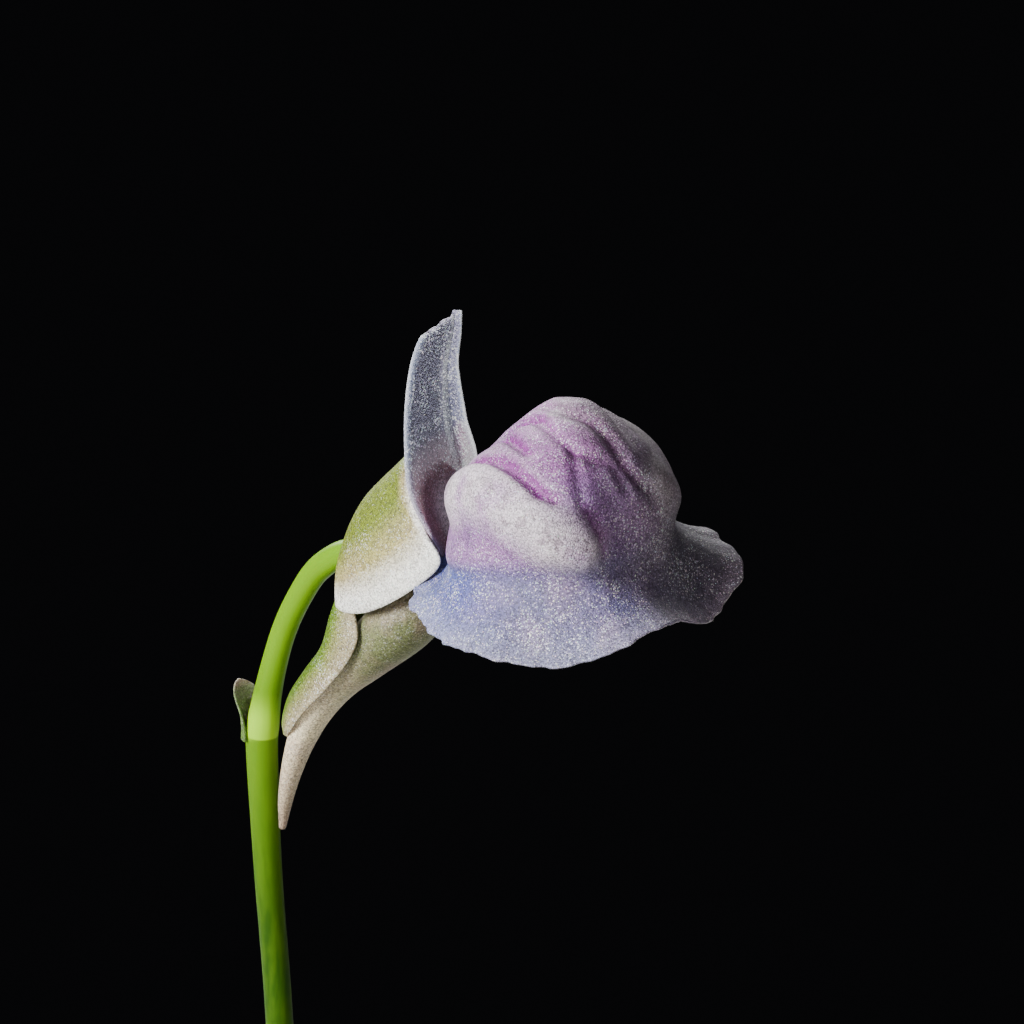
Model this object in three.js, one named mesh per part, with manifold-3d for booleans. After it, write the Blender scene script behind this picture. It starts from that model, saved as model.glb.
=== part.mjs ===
// A potted grass-leaved bladderwort, Utricularia graminifolia, with one open flower.
// Units are millimetres and +Z is up. The origin is the centre of the pot's underside, and the flower faces +X.
import * as THREE from "three";
import { mergeVertices } from "three/addons/utils/BufferGeometryUtils.js";
import Module from "manifold-3d";

const wasm = await Module();
wasm.setup();

// Driving dimensions of the pot and its soil.
const POT_HEIGHT = 50;
const POT_FOOT_RADIUS = 19;
const POT_BODY_RADIUS = 24.6;
const POT_RIM_RADIUS = 28;
const POT_RIM_HEIGHT = 12;
const POT_WALL = 3.4;
const POT_LIP = 4.3;
const POT_FLOOR = 4.5;
const DRAIN_RADIUS = 4;
const SOIL_TOP = 44;
const SOIL_RELIEF = 0.3;
const FIT_GAP = 0.3;
const ROUND_SIDES = 36;

// Driving dimensions of the flower stalk. The node is where the bract sits and the pedicel starts.
const NODE_HEIGHT = 106;
const STALK_RADIUS = 0.41;
const STALK_FOOT_RADIUS = 0.6;
const STALK_SUNK = 8;

// Driving dimensions of the leaves, which grow in tufts on a triangular lattice round the stalk.
const TUFT_SPACING = 8;
const TUFT_FIELD_RADIUS = 18.6;
const TUFT_GAP = 0.3;
const BLADE_WIDTH = 2.1;
const BLADE_THICKNESS = 0.65;
const BLADE_LENGTH = [12.5, 20.5];
const CROWN_RADIUS = 1.75;
const CROWN_SUNK = 3;
const CROWN_SIDES = 6;
const CROWN_SHOWN = 0.9;
const RIM_REACH = 8.6;

// Driving dimensions of the flower. Its places are measured from the node.
const PETAL_THICKNESS = 0.6;
const SEPAL_THICKNESS = 0.6;
const CLEARANCE = 0.25;
const THROAT = new THREE.Vector3(7, 0, 6.3);
const LIP_ROLL = THREE.MathUtils.degToRad(12);
const PALATE_CENTRE = 3.95;
const PALATE_FRONT = 3.15;
const PALATE_BACK = 3.25;
const PALATE_HALF_WIDTH = 3.1;
const PALATE_TOP = 5.9;
const PALATE_FOOT = 2.5;
const PALATE_SHARE = 0.65;
const CHEEK_SWELL = 0.25;
const VALLEY_DEPTH = 0.45;
const SKIRT_LEVEL = 0.45;

const COLOURS = {
  clay: 0xb5683f,
  soil: 0x2e2219,
  leaf: 0x5f9a2c,
  stalk: 0x7fae1e,
  calyx: 0xc3c98a,
  upperLip: 0x9a93ad,
  lowerLip: 0xa99ac4,
  spur: 0xb9a699,
};

const { clamp, lerp, smoothstep } = THREE.MathUtils;

// A bump of height 1 round a place.
const bump = (value, place, width) => Math.exp(-(((value - place) / width) ** 2));

// Evenly spaced stops from one value to another.
const evenly = (spans, from = 0, to = 1) => Array.from({ length: spans + 1 }, (_, i) => lerp(from, to, i / spans));

// The value at a share from 0 to 1, read straight between the entries of an even list.
function along(list, share) {
  const at = share * (list.length - 1);
  const i = clamp(Math.floor(at), 0, list.length - 2);
  return lerp(list[i], list[i + 1], at - i);
}

// A smooth curve through points given as [x, z] or [x, y, z].
function through(points) {
  const place = (p) => (p.length === 2 ? new THREE.Vector3(p[0], 0, p[1]) : new THREE.Vector3(...p));
  return new THREE.CatmullRomCurve3(points.map(place), false, "centripetal");
}

// The place on a curve at a share of its length, straight on past its ends.
function placeOn(curve, share) {
  const near = clamp(share, 0, 1);
  return curve.getPoint(near).addScaledVector(curve.getTangent(near), (share - near) * curve.getLength());
}

// A repeatable random number from 0 to 1.
function seeded(seed) {
  let state = seed;
  return () => {
    state = (state * 1664525 + 1013904223) % 4294967296;
    return state / 4294967296;
  };
}

// Solids

function geometryFrom(points, faces) {
  const geometry = new THREE.BufferGeometry().setFromPoints(points);
  geometry.setIndex(faces);
  return geometry;
}

// A closed skin over a list of closed rings of points, with a flat cap at each end.
function skin(rings) {
  const sides = rings[0].length;
  const faces = [];
  for (let r = 0; r + 1 < rings.length; r++) {
    for (let s = 0; s < sides; s++) {
      const a = r * sides + s;
      const b = r * sides + ((s + 1) % sides);
      faces.push(a, b, a + sides, b, b + sides, a + sides);
    }
  }
  const last = (rings.length - 1) * sides;
  for (let s = 1; s + 1 < sides; s++) {
    faces.push(0, s + 1, s);
    faces.push(last, last + s, last + s + 1);
  }
  return geometryFrom(rings.flat(), faces);
}

// A thin closed sheet between two surfaces, each a function of where it is across and where it is along.
// Where one of the two is below 0 and the other above it, the cells are split the other way, towards their corner.
function sheet(outer, inner, acrossStops, alongStops) {
  const columns = acrossStops.length;
  const rows = alongStops.length;
  const count = columns * rows;
  const points = [outer, inner].flatMap((side) => alongStops.flatMap((v) => acrossStops.map((u) => side(u, v))));
  const faces = [];
  const edge = [];
  for (let r = 0; r + 1 < rows; r++) {
    for (let c = 0; c + 1 < columns; c++) {
      const a = r * columns + c;
      const [b, d, e] = [a + 1, a + columns, a + columns + 1];
      const unlike = (acrossStops[c] + acrossStops[c + 1]) * (alongStops[r] + alongStops[r + 1]) < 0;
      const cell = unlike ? [a, b, d, b, e, d] : [a, b, e, a, e, d];
      faces.push(...cell);
      faces.push(...cell.map((point) => point + count).reverse());
    }
    edge.push([r * columns, (r + 1) * columns]);
    edge.push([(r + 2) * columns - 1, (r + 1) * columns - 1]);
  }
  for (let c = 0; c + 1 < columns; c++) {
    edge.push([c + 1, c]);
    edge.push([(rows - 1) * columns + c, (rows - 1) * columns + c + 1]);
  }
  for (const [a, b] of edge) faces.push(a, b, b + count, a, b + count, a + count);
  return geometryFrom(points, faces);
}

// A solid along a curve, its radii spread evenly along it. It may be grown all over to make room for itself.
function stem(curve, radii, steps, sides, grow = 0, breadth = 1) {
  const side = new THREE.Vector3(0, 1, 0);
  const past = grow / curve.getLength();
  const rings = evenly(steps, -past, 1 + past).map((share) => {
    const middle = placeOn(curve, share);
    const up = new THREE.Vector3().crossVectors(curve.getTangent(clamp(share, 0, 1)), side).normalize();
    const radius = along(radii, clamp(share, 0, 1));
    return Array.from({ length: sides }, (_, s) => {
      const turn = (2 * Math.PI * s) / sides;
      return middle
        .clone()
        .addScaledVector(side, Math.cos(turn) * (radius * breadth + grow))
        .addScaledVector(up, Math.sin(turn) * (radius + grow));
    });
  });
  return solidOf(skin(rings));
}

// The solid of a closed geometry, turned so that its faces point out.
function solidOf(geometry) {
  const bare = geometry.clone();
  bare.deleteAttribute("normal");
  bare.deleteAttribute("uv");
  const merged = mergeVertices(bare, 1e-4);
  const index = merged.index.array;
  const out = [];
  const turned = [];
  for (let i = 0; i < index.length; i += 3) {
    const [a, b, c] = [index[i], index[i + 1], index[i + 2]];
    if (a === b || b === c || c === a) continue;
    out.push(a, b, c);
    turned.push(a, c, b);
  }
  const vertProperties = merged.attributes.position.array;
  const make = (faces) =>
    new wasm.Manifold(new wasm.Mesh({ numProp: 3, vertProperties, triVerts: new Uint32Array(faces) }));
  const solid = make(out);
  return solid.volume() > 0 ? solid : make(turned);
}

// The largest body of a solid as a geometry, so that the loose scraps of a cut are dropped.
function geometryOf(solid) {
  const largest = solid.decompose().sort((a, b) => b.volume() - a.volume())[0];
  const mesh = largest.getMesh();
  const geometry = new THREE.BufferGeometry();
  geometry.setAttribute("position", new THREE.BufferAttribute(Float32Array.from(mesh.vertProperties), 3));
  geometry.setIndex(new THREE.BufferAttribute(Uint32Array.from(mesh.triVerts), 1));
  geometry.computeVertexNormals();
  return geometry;
}

const cutBy = (solid, rooms) => rooms.reduce((left, room) => left.subtract(room), solid);

// Pot and soil

function potInside(z) {
  const share = (z - POT_FLOOR) / (POT_HEIGHT - POT_FLOOR);
  return lerp(POT_FOOT_RADIUS - POT_WALL, POT_RIM_RADIUS - POT_LIP, share);
}

function turned(profile) {
  const points = profile.map(([radius, height]) => new THREE.Vector2(radius, height));
  return new THREE.LatheGeometry(points, ROUND_SIDES).rotateX(Math.PI / 2);
}

function makePot() {
  const under = POT_HEIGHT - POT_RIM_HEIGHT;
  const edge = 0.9;
  return turned([
    [DRAIN_RADIUS, 0],
    [POT_FOOT_RADIUS - edge, 0],
    [POT_FOOT_RADIUS, edge],
    [POT_BODY_RADIUS, under],
    [POT_RIM_RADIUS - edge, under],
    [POT_RIM_RADIUS - edge / 3, under + edge],
    [POT_RIM_RADIUS, POT_HEIGHT - edge],
    [POT_RIM_RADIUS - edge, POT_HEIGHT],
    [potInside(POT_HEIGHT) + edge, POT_HEIGHT],
    [potInside(POT_HEIGHT), POT_HEIGHT - edge],
    [potInside(POT_FLOOR) - edge, POT_FLOOR],
    [DRAIN_RADIUS, POT_FLOOR],
    [DRAIN_RADIUS, 0],
  ]);
}

// The soil's surface rises and falls a little.
function soilRelief(x, y) {
  const swell = Math.sin(0.37 * x + 1.1) * Math.cos(0.29 * y) + 0.6 * Math.sin(0.61 * y - 0.43 * x);
  return SOIL_RELIEF * swell;
}

function makeSoil(holes) {
  const low = POT_FLOOR + FIT_GAP;
  const edge = potInside(SOIL_TOP) - FIT_GAP;
  const block = turned([
    [0, low],
    [potInside(POT_FLOOR) - FIT_GAP - 0.9, low],
    [edge - 0.2, SOIL_TOP - 0.9],
    ...[0.94, 0.62, 0.3].map((share) => [edge * share, SOIL_TOP]),
    [0, SOIL_TOP],
  ]);
  const place = block.attributes.position;
  for (let i = 0; i < place.count; i++) {
    if (place.getZ(i) < SOIL_TOP - 0.01) continue;
    place.setZ(i, SOIL_TOP + soilRelief(place.getX(i), place.getY(i)));
  }
  return cutBy(solidOf(block), holes);
}

// A plain upright hole in the soil, as the cylinder that is taken out.
function holeAt(x, y, radius, depth) {
  const rise = 3;
  const plug = new THREE.CylinderGeometry(radius, radius, depth + rise, CROWN_SIDES).rotateX(Math.PI / 2);
  plug.translate(x, y, SOIL_TOP + (rise - depth) / 2);
  return solidOf(plug);
}

// Leaves

// One narrow blade with a raised midrib, leaning out along its heading.
function blade({ rootReach, heading, lean, length, width }) {
  const out = new THREE.Vector3(Math.cos(heading), Math.sin(heading), 0);
  const across = new THREE.Vector3(-out.y, out.x, 0);
  const place = (reach, height) => out.clone().multiplyScalar(reach).setZ(height);
  const curve = new THREE.QuadraticBezierCurve3(
    place(rootReach, -1.5),
    place(rootReach + lean * 0.2, length * 0.6),
    place(rootReach + lean, length),
  );
  const widths = [0.6, 0.88, 1, 0.4];
  const rings = evenly(3).map((share, i) => {
    const middle = curve.getPoint(share);
    const face = new THREE.Vector3().crossVectors(across, curve.getTangent(share)).normalize();
    const half = (width * widths[i]) / 2;
    return [
      middle.clone().addScaledVector(across, half),
      middle.clone().addScaledVector(face, BLADE_THICKNESS),
      middle.clone().addScaledVector(across, -half),
    ];
  });
  return solidOf(skin(rings));
}

// A ring of blades, evenly set round a tuft. Each leans out by a share of its room, which is more towards the rim.
function bladeRing(draw, outward, { count, first, rootReach, least }) {
  const cell = (TUFT_SPACING - TUFT_GAP) / 2;
  return Array.from({ length: count }, (_, i) => {
    const heading = first + ((i + draw() * 0.25) * 2 * Math.PI) / count;
    const facing = outward === undefined ? 0 : smoothstep(Math.cos(heading - outward), 0.68, 0.96);
    const room = lerp(cell, RIM_REACH, facing) - rootReach - BLADE_THICKNESS;
    return { rootReach, heading, lean: room * lerp(least, 1.35 * least, draw()) };
  });
}

// The blades of one tuft: one upright in the middle, three near it and six that lean out to the tuft's edge.
function tuftBlades(draw, outward) {
  const first = draw() * 2 * Math.PI;
  const middle = { rootReach: -0.2, heading: first, lean: 0.6 + draw() * 0.8 };
  const inner = bladeRing(draw, outward, { count: 3, first: first + 0.9, rootReach: 0.6, least: 0.35 });
  const outer = bladeRing(draw, outward, { count: 6, first: first + 0.4, rootReach: 0.95, least: 0.74 });
  return [middle, ...inner, ...outer].map((placed, i) => ({
    ...placed,
    length: lerp(BLADE_LENGTH[1], BLADE_LENGTH[0], i < 1 ? draw() * 0.3 : 0.1 + draw() * 0.9),
    width: BLADE_WIDTH * lerp(0.85, 1.05, draw()),
  }));
}

function makeTuft(seed, outward) {
  const crown = new THREE.CylinderGeometry(
    CROWN_RADIUS * 0.85,
    CROWN_RADIUS,
    CROWN_SUNK + CROWN_SHOWN,
    CROWN_SIDES,
  );
  crown.rotateX(Math.PI / 2).translate(0, 0, (CROWN_SHOWN - CROWN_SUNK) / 2);
  const blades = tuftBlades(seeded(seed), outward).map(blade);
  return geometryOf(wasm.Manifold.union([solidOf(crown), ...blades]));
}

// The places of the tufts, with the outward heading of those beside the rim.
function tuftPlaces() {
  const places = [];
  for (let row = -3; row <= 3; row++) {
    for (let column = -3; column <= 3; column++) {
      const x = (row + 1 / 3) * TUFT_SPACING * Math.sqrt(0.75);
      const y = (column + (row % 2 === 0 ? 0.5 : 0)) * TUFT_SPACING;
      const reach = Math.hypot(x, y);
      if (reach > TUFT_FIELD_RADIUS) continue;
      const besideRim = reach > TUFT_FIELD_RADIUS - TUFT_SPACING / 3;
      places.push({ x, y, outward: besideRim ? Math.atan2(y, x) : undefined });
    }
  }
  return places;
}

// Flower stalk, with its scales, its bract and the ovary at the pedicel's end

// The stalk leans a little to one side on its way down.
const STALK_LINE = [
  [-0.6, 0.1, SOIL_TOP - STALK_SUNK - NODE_HEIGHT],
  [-0.75, 0.2, -50],
  [-0.5, 0.8, -34],
  [0.1, 1.15, -18],
  [0.05, 0.66, -8.8],
  [0.02, 0.2, -4],
  [0, 0, 0],
];
const STALK_RADII = [STALK_FOOT_RADIUS, 0.52, 0.46, STALK_RADIUS, STALK_RADIUS];
const PEDICEL_LINE = [
  [0, -0.6],
  [0.05, 0.4],
  [0.21, 1.27],
  [0.5, 2.4],
  [0.86, 3.46],
  [1.36, 4.47],
  [2.07, 5.5],
  [2.97, 6.15],
  [3.6, 6.3],
];
const PEDICEL_RADII = [0.46, 0.46, 0.42, 0.4, 0.38, 0.37, 0.38, 0.4, 0.44];
const OVARY_LINE = [
  [3.2, 6.25],
  [3.8, 6.3],
  [4.4, 6.25],
  [4.9, 6.15],
  [5.4, 6.05],
];
const OVARY_RADII = [0.3, 0.62, 0.7, 0.45, 0.18];

// A small pointed scale that clasps the stalk and bends away from it at its tip.
function scaleLeaf(place, heading, height, hug, flare) {
  const surface = (reach) => (across, up) => {
    const turn = heading + (across - 0.5) * Math.PI * 0.95 * (1 - up * 0.85);
    const out = reach + flare * up * up;
    return new THREE.Vector3(Math.cos(turn) * out, Math.sin(turn) * out, height * up).add(place);
  };
  return solidOf(sheet(surface(hug + 0.55), surface(hug), evenly(4), evenly(4)));
}

const ovary = (grow) => stem(through(OVARY_LINE), OVARY_RADII, 6, 8, grow);
const pedicel = (grow) => stem(through(PEDICEL_LINE), PEDICEL_RADII, 14, 8, grow);
const peduncle = (grow) => stem(through(STALK_LINE), STALK_RADII, 24, 8, grow);

function makeStalk() {
  const line = through(STALK_LINE);
  const bract = scaleLeaf(new THREE.Vector3(0, 0, -0.1), Math.PI * 0.95, 1.55, 0.02, 0.5);
  const scales = [
    { share: 0.36, heading: 2.4 },
    { share: 0.6, heading: -0.8 },
  ].map(({ share, heading }) => scaleLeaf(line.getPoint(share), heading, 1.6, 0.15, 0.15));
  return wasm.Manifold.union([peduncle(), pedicel(), ovary(), bract, ...scales]);
}

// Calyx

// Each row of a sepal is half an ellipse, from one margin over the back to the other margin.
// A row gives the back as [x, z], the margins as [x, z] and half of the width between them.
const UPPER_SEPAL = [
  [3.2, 6.6, 3.4, 5.6, 0.7],
  [3.3, 6.9, 3.5, 4.95, 1.1],
  [3.55, 7.55, 4.4, 4.98, 1.4],
  [3.95, 8.2, 5.5, 5.45, 1.65],
  [4.45, 8.75, 6.7, 6.1, 1.78],
  [4.85, 9.15, 7.35, 6.9, 1.8],
  [5.1, 9.4, 7.0, 7.9, 1.6],
  [5.25, 9.55, 6.4, 8.8, 1.2],
  [5.4, 9.7, 5.8, 9.5, 0.6],
];
const LOWER_SEPAL = [
  [2.9, 5.0, 3.7, 4.85, 0.9],
  [2.5, 4.35, 4.0, 4.3, 1.45],
  [2.05, 3.35, 3.5, 3.5, 1.45],
  [1.48, 2.45, 2.6, 2.4, 1.25],
  [1.04, 1.62, 1.9, 1.5, 1.02],
  [0.86, 0.85, 1.45, 0.75, 0.8],
  [0.88, 0.35, 1.2, 0.35, 0.45],
];

function sepalSurface(rows, inset, grow) {
  const columns = [0, 1, 2, 3, 4].map((i) => rows.map((row) => row[i]));
  return (across, share) => {
    const [backX, backZ, marginX, marginZ, half] = columns.map((column) => along(column, share));
    const turn = ((across * 2 - 1) * Math.PI) / 2;
    const depth = Math.hypot(marginX - backX, marginZ - backZ);
    const start = Math.min(0.8, inset / depth);
    const reach = start + (1 + grow / depth - start) * (1 - Math.cos(turn));
    return new THREE.Vector3(
      lerp(backX, marginX, reach),
      Math.sin(turn) * Math.max(0.1, half - inset),
      lerp(backZ, marginZ, reach),
    );
  };
}

function sepal(rows, grow = 0) {
  const acrossStops = [0, 0.12, 0.26, 0.42, 0.58, 0.74, 0.88, 1];
  const past = grow / 6;
  const alongStops = evenly(rows.length - 1, -past, 1 + past);
  const outer = sepalSurface(rows, -grow, grow);
  const inner = sepalSurface(rows, SEPAL_THICKNESS + grow, grow);
  return solidOf(sheet(outer, inner, acrossStops, alongStops));
}

// Corolla

const SPUR_LINE = [
  [6.25, 5.7],
  [5.65, 5.05],
  [5.0, 4.4],
  [3.8, 3.26],
  [2.76, 2.25],
  [1.97, 1.2],
  [1.45, 0.12],
  [1.12, -0.9],
  [0.92, -1.86],
  [0.84, -2.68],
];
const SPUR_RADII = [0.65, 0.85, 0.9, 0.75, 0.62, 0.51, 0.4, 0.3, 0.2, 0.11];
const SPUR_BREADTH = 1.25;

const spur = (grow) => stem(through(SPUR_LINE), SPUR_RADII, 18, 12, grow, SPUR_BREADTH);

const UPPER_LIP_LINE = through([
  [7.05, 6.9],
  [6.5, 7.85],
  [6.08, 9.2],
  [5.88, 10.6],
  [5.92, 12.2],
  [6.15, 13.3],
  [6.45, 14.05],
]);
const UPPER_LIP_HALF_WIDTHS = [0.5, 0.8, 1.08, 1.2, 1.25, 1.15, 0.75];
const UPPER_LIP_CUP = [0.05, 0.2, 0.36, 0.45, 0.42, 0.32, 0.2];

// The upper lip stands like a shallow gutter, its margins a little ahead of its midrib and its tip notched.
function upperLipSurface(forwardBy, grow) {
  return (side, share) => {
    const place = share * (1 - 0.05 * Math.abs(side) ** 3 - 0.055 * smoothstep(-side, 0, 0.4));
    const ahead = UPPER_LIP_LINE.getTangent(clamp(place, 0, 1));
    const forward = new THREE.Vector3(ahead.z, 0, -ahead.x);
    const halfWidth = along(UPPER_LIP_HALF_WIDTHS, place) + grow;
    return placeOn(UPPER_LIP_LINE, place)
      .addScaledVector(forward, along(UPPER_LIP_CUP, place) * side * side + forwardBy)
      .add(new THREE.Vector3(0, side * halfWidth, 0));
  };
}

function upperLip(grow = 0) {
  const half = PETAL_THICKNESS / 2 + grow;
  const past = grow / UPPER_LIP_LINE.getLength();
  const alongStops = evenly(12, -past, 1 + past);
  return solidOf(sheet(upperLipSurface(half, grow), upperLipSurface(-half, grow), evenly(8, -1, 1), alongStops));
}

// The lower lip's rim, as its distance from the palate's middle at each turn from the front, in degrees.
const RIM = [
  [-180, 3.9],
  [-165, 4.5],
  [-150, 4.55],
  [-128, 4.3],
  [-107, 4.4],
  [-90, 4.55],
  [-66, 4.55],
  [-50, 4.75],
  [-34, 4.85],
  [-18, 4.55],
  [0, 4.05],
  [22, 4.15],
  [48, 5.1],
  [60, 4.85],
  [75, 4.3],
  [107, 3.9],
  [128, 4.1],
  [152, 4.7],
  [180, 3.9],
];

function rimReach(turn) {
  const degrees = clamp(THREE.MathUtils.radToDeg(turn), -180, 179.99);
  const i = RIM.findLastIndex(([at]) => at <= degrees);
  const share = (degrees - RIM[i][0]) / (RIM[i + 1][0] - RIM[i][0]);
  return lerp(RIM[i][1], RIM[i + 1][1], smoothstep(share, 0, 1));
}

// The rim waves, droops on the far side of the front and rises at the back.
function rimHeight(turn) {
  const wave = 0.07 * Math.sin(3 * turn + 0.6) + 0.07 * Math.sin(7 * turn);
  const droop = 1.15 * bump(turn, 0.36, 0.45) + 0.25 * bump(Math.abs(turn), 2.7, 0.5);
  const lift = 0.55 * bump(turn, -0.35, 0.4) + 0.35 * bump(turn, 1.75, 0.55);
  return SKIRT_LEVEL + wave + lift + 0.8 * bump(Math.abs(turn), Math.PI, 0.4) - droop;
}

// How far the palate stands out from its middle: two swollen cheeks, and between them in front a shallow valley.
function palateReach(turn, share) {
  const power = 2.4;
  const long = Math.abs(Math.cos(turn)) / (Math.cos(turn) > 0 ? PALATE_FRONT : PALATE_BACK);
  const wide = Math.abs(Math.sin(turn)) / PALATE_HALF_WIDTH;
  const down = share / PALATE_SHARE;
  const swell = CHEEK_SWELL * bump(Math.abs(turn), 1.2, 0.8) * bump(down, 0.7, 0.2);
  const valley = VALLEY_DEPTH * bump(turn, -0.25, 0.3) * smoothstep(down, 0.2, 0.8);
  return (long ** power + wide ** power) ** (-1 / power) + swell - valley;
}

// The palate leans forward, a little less so in front.
const palateTilt = (x, y) => 0.26 * (x - PALATE_CENTRE) + 0.07 * y - 0.1 * smoothstep(x, 3.5, 7) * (x - 3.5);

// The depth of the furrows that run over the palate from the throat and draw together in front.
function furrow(x, y) {
  const place = Math.abs(y + 0.3 * smoothstep(x, 3, 6)) / lerp(1, 0.5, smoothstep(x, 1.6, 6));
  const strength = smoothstep(x, 0.9, 1.8) * (1 - smoothstep(x, 5.2, 6.4));
  return strength * (0.3 * bump(place, 0, 0.2) + 0.22 * bump(place, 0.8, 0.2) + 0.42 * bump(place, 1.6, 0.26));
}

// The height and the distance from the middle on the lower lip's slope, from the palate's top out to the rim.
function lipSlope(top, reach, foot, rim, edge, share) {
  const at = (curve, t) => new THREE.CubicBezierCurve(...curve.map((p) => new THREE.Vector2(...p))).getPoint(t);
  const narrow = reach - 0.08;
  if (share < PALATE_SHARE) {
    const cheek = [[0, top], [0.66 * reach, top + 0.12], [reach + 0.22, lerp(foot, top, 0.62)], [narrow, foot]];
    return at(cheek, share / PALATE_SHARE);
  }
  const neck = [narrow - 0.1, lerp(foot, edge, 0.4)];
  const flare = [lerp(reach, rim, 0.42), lerp(foot, edge, 0.82)];
  return at([[narrow, foot], neck, flare, [rim, edge]], (share - PALATE_SHARE) / (1 - PALATE_SHARE));
}

// The turn and the share of a place on a square sheet that is drawn out to a round one. Its stops run from -1 to 1.
function roundedPlace(across, ahead) {
  const share = Math.max(Math.abs(across), Math.abs(ahead));
  const quarter = Math.PI / 4;
  if (share === 0) return [0, 0];
  if (Math.abs(ahead) >= Math.abs(across)) {
    const turn = (quarter * across) / ahead;
    return [ahead > 0 ? turn : Math.atan2(-Math.sin(turn), -Math.cos(turn)), share];
  }
  return [Math.sign(across) * (2 * quarter - (quarter * ahead) / Math.abs(across)), share];
}

// A surface of the lower lip in its own frame, set in from the outer one.
function lowerLipSurface(inset, grow) {
  return (across, ahead) => {
    const [turn, share] = roundedPlace(across, ahead);
    const edge = rimHeight(turn) - inset;
    const foot = PALATE_FOOT - 0.5 * bump(turn, 0, 0.6) - 0.8 * bump(Math.abs(turn), 2.7, 0.45);
    const reach = palateReach(turn, share) - inset;
    const rim = rimReach(turn) + grow;
    const slope = lipSlope(PALATE_TOP - inset, reach, foot, rim, edge, share);
    const [x, y] = [PALATE_CENTRE + Math.cos(turn) * slope.x, Math.sin(turn) * slope.x];
    const raised = palateTilt(x, y) - furrow(x, y);
    return new THREE.Vector3(x, y, slope.y + raised * smoothstep(slope.y, 1.2, 3.2));
  };
}

function lowerLip(grow = 0) {
  const half = [0.07, 0.13, 0.2, 0.28, 0.37, 0.46, 0.55, 0.65, 0.77, 0.89, 1];
  const stops = [...half.map((stop) => -stop).reverse(), 0, ...half];
  const outer = lowerLipSurface(-grow, grow);
  const inner = lowerLipSurface(PETAL_THICKNESS + grow, grow);
  const lip = sheet(outer, inner, stops, stops);
  lip.rotateX(LIP_ROLL).translate(...THROAT);
  return solidOf(lip);
}

// Assembly

const plant = new THREE.Group();

function add(parent, name, geometry, colour, roughness) {
  const material = new THREE.MeshStandardMaterial({ color: colour, roughness, metalness: 0 });
  const mesh = new THREE.Mesh(geometry, material);
  mesh.name = name;
  parent.add(mesh);
  return mesh;
}

const tufts = tuftPlaces();
const [stalkX, stalkY] = STALK_LINE[0];
const holes = [
  holeAt(stalkX, stalkY, STALK_FOOT_RADIUS + FIT_GAP, STALK_SUNK + FIT_GAP),
  ...tufts.map(({ x, y }) => holeAt(x, y, CROWN_RADIUS + FIT_GAP, CROWN_SUNK + FIT_GAP)),
];

add(plant, "pot", makePot(), COLOURS.clay, 0.85);
add(plant, "soil", geometryOf(makeSoil(holes)), COLOURS.soil, 0.95);

tufts.forEach(({ x, y, outward }, i) => {
  const name = "leaf_tuft_" + String(i + 1).padStart(2, "0");
  const mesh = add(plant, name, makeTuft(i + 11, outward), COLOURS.leaf, 0.55);
  mesh.position.set(x, y, SOIL_TOP);
});

const flower = new THREE.Group();
flower.position.set(0, 0, NODE_HEIGHT);
plant.add(flower);

// Each piece of the flower is cut clear of the pieces that it grows round, from the stalk outwards.
const pieces = [
  ["corolla_spur", spur, COLOURS.spur],
  ["corolla_lower_lip", lowerLip, COLOURS.lowerLip],
  ["corolla_upper_lip", upperLip, COLOURS.upperLip],
  ["calyx_upper_lobe", (grow) => sepal(UPPER_SEPAL, grow), COLOURS.calyx],
  ["calyx_lower_lobe", (grow) => sepal(LOWER_SEPAL, grow), COLOURS.calyx],
];
const rooms = [peduncle, pedicel, ovary].map((make) => make(CLEARANCE));
add(flower, "flower_stalk", geometryOf(makeStalk()), COLOURS.stalk, 0.5);
for (const [name, make, colour] of pieces) {
  add(flower, name, geometryOf(cutBy(make(), rooms)), colour, 0.5);
  rooms.push(make(CLEARANCE));
}

export default plant;
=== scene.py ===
# %% [markdown]
# # A grass-leaved bladderwort in a clay pot
#
# This lesson dresses a small potted plant, Utricularia graminifolia. Its solids come from a CAD program,
# packed as one frame, and Blender gives each of them its real surface: thin petals, leaves, peat and fired
# clay. Every place is in the frame's own coordinates: the origin is under the middle of the pot, +Z is up
# and the flower faces +X. The sizes here are written in millimetres, as in the CAD source, and turned to
# metres when a mesh is made.

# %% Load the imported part
import math
from functools import partial

import bmesh
import bpy
import numpy as np
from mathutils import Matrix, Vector


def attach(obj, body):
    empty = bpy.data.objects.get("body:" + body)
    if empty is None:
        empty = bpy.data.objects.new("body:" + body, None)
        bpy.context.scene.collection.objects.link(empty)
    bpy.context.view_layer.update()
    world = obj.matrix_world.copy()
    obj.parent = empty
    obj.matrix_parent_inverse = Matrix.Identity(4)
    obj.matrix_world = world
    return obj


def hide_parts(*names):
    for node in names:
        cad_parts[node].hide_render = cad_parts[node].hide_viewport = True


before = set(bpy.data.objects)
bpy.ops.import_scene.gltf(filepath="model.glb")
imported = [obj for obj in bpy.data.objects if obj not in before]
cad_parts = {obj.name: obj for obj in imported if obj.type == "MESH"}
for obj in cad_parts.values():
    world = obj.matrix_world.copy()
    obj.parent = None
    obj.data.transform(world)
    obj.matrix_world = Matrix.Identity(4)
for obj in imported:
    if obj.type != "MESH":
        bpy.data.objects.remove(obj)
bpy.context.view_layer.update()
MM = 0.001
print("the frame holds", len(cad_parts), "nodes")

# %% [markdown]
# ## The camera
#
# The photograph is a close-up of the flower, taken from its near side, a little in front of it and a little
# above it. A long lens keeps the petals from being drawn out of proportion, so the camera has one too, and
# it stands far enough back for the frame to be 30 mm wide at the flower.

# %% The camera
VIEW_AZIMUTH = math.radians(35)
VIEW_ELEVATION = math.radians(18)
VIEW_DISTANCE = 300
VIEW_WIDTH = 30
VIEW_CENTRE = Vector((4.843, 5.856, 112.214))
SENSOR_WIDTH = 36


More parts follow.
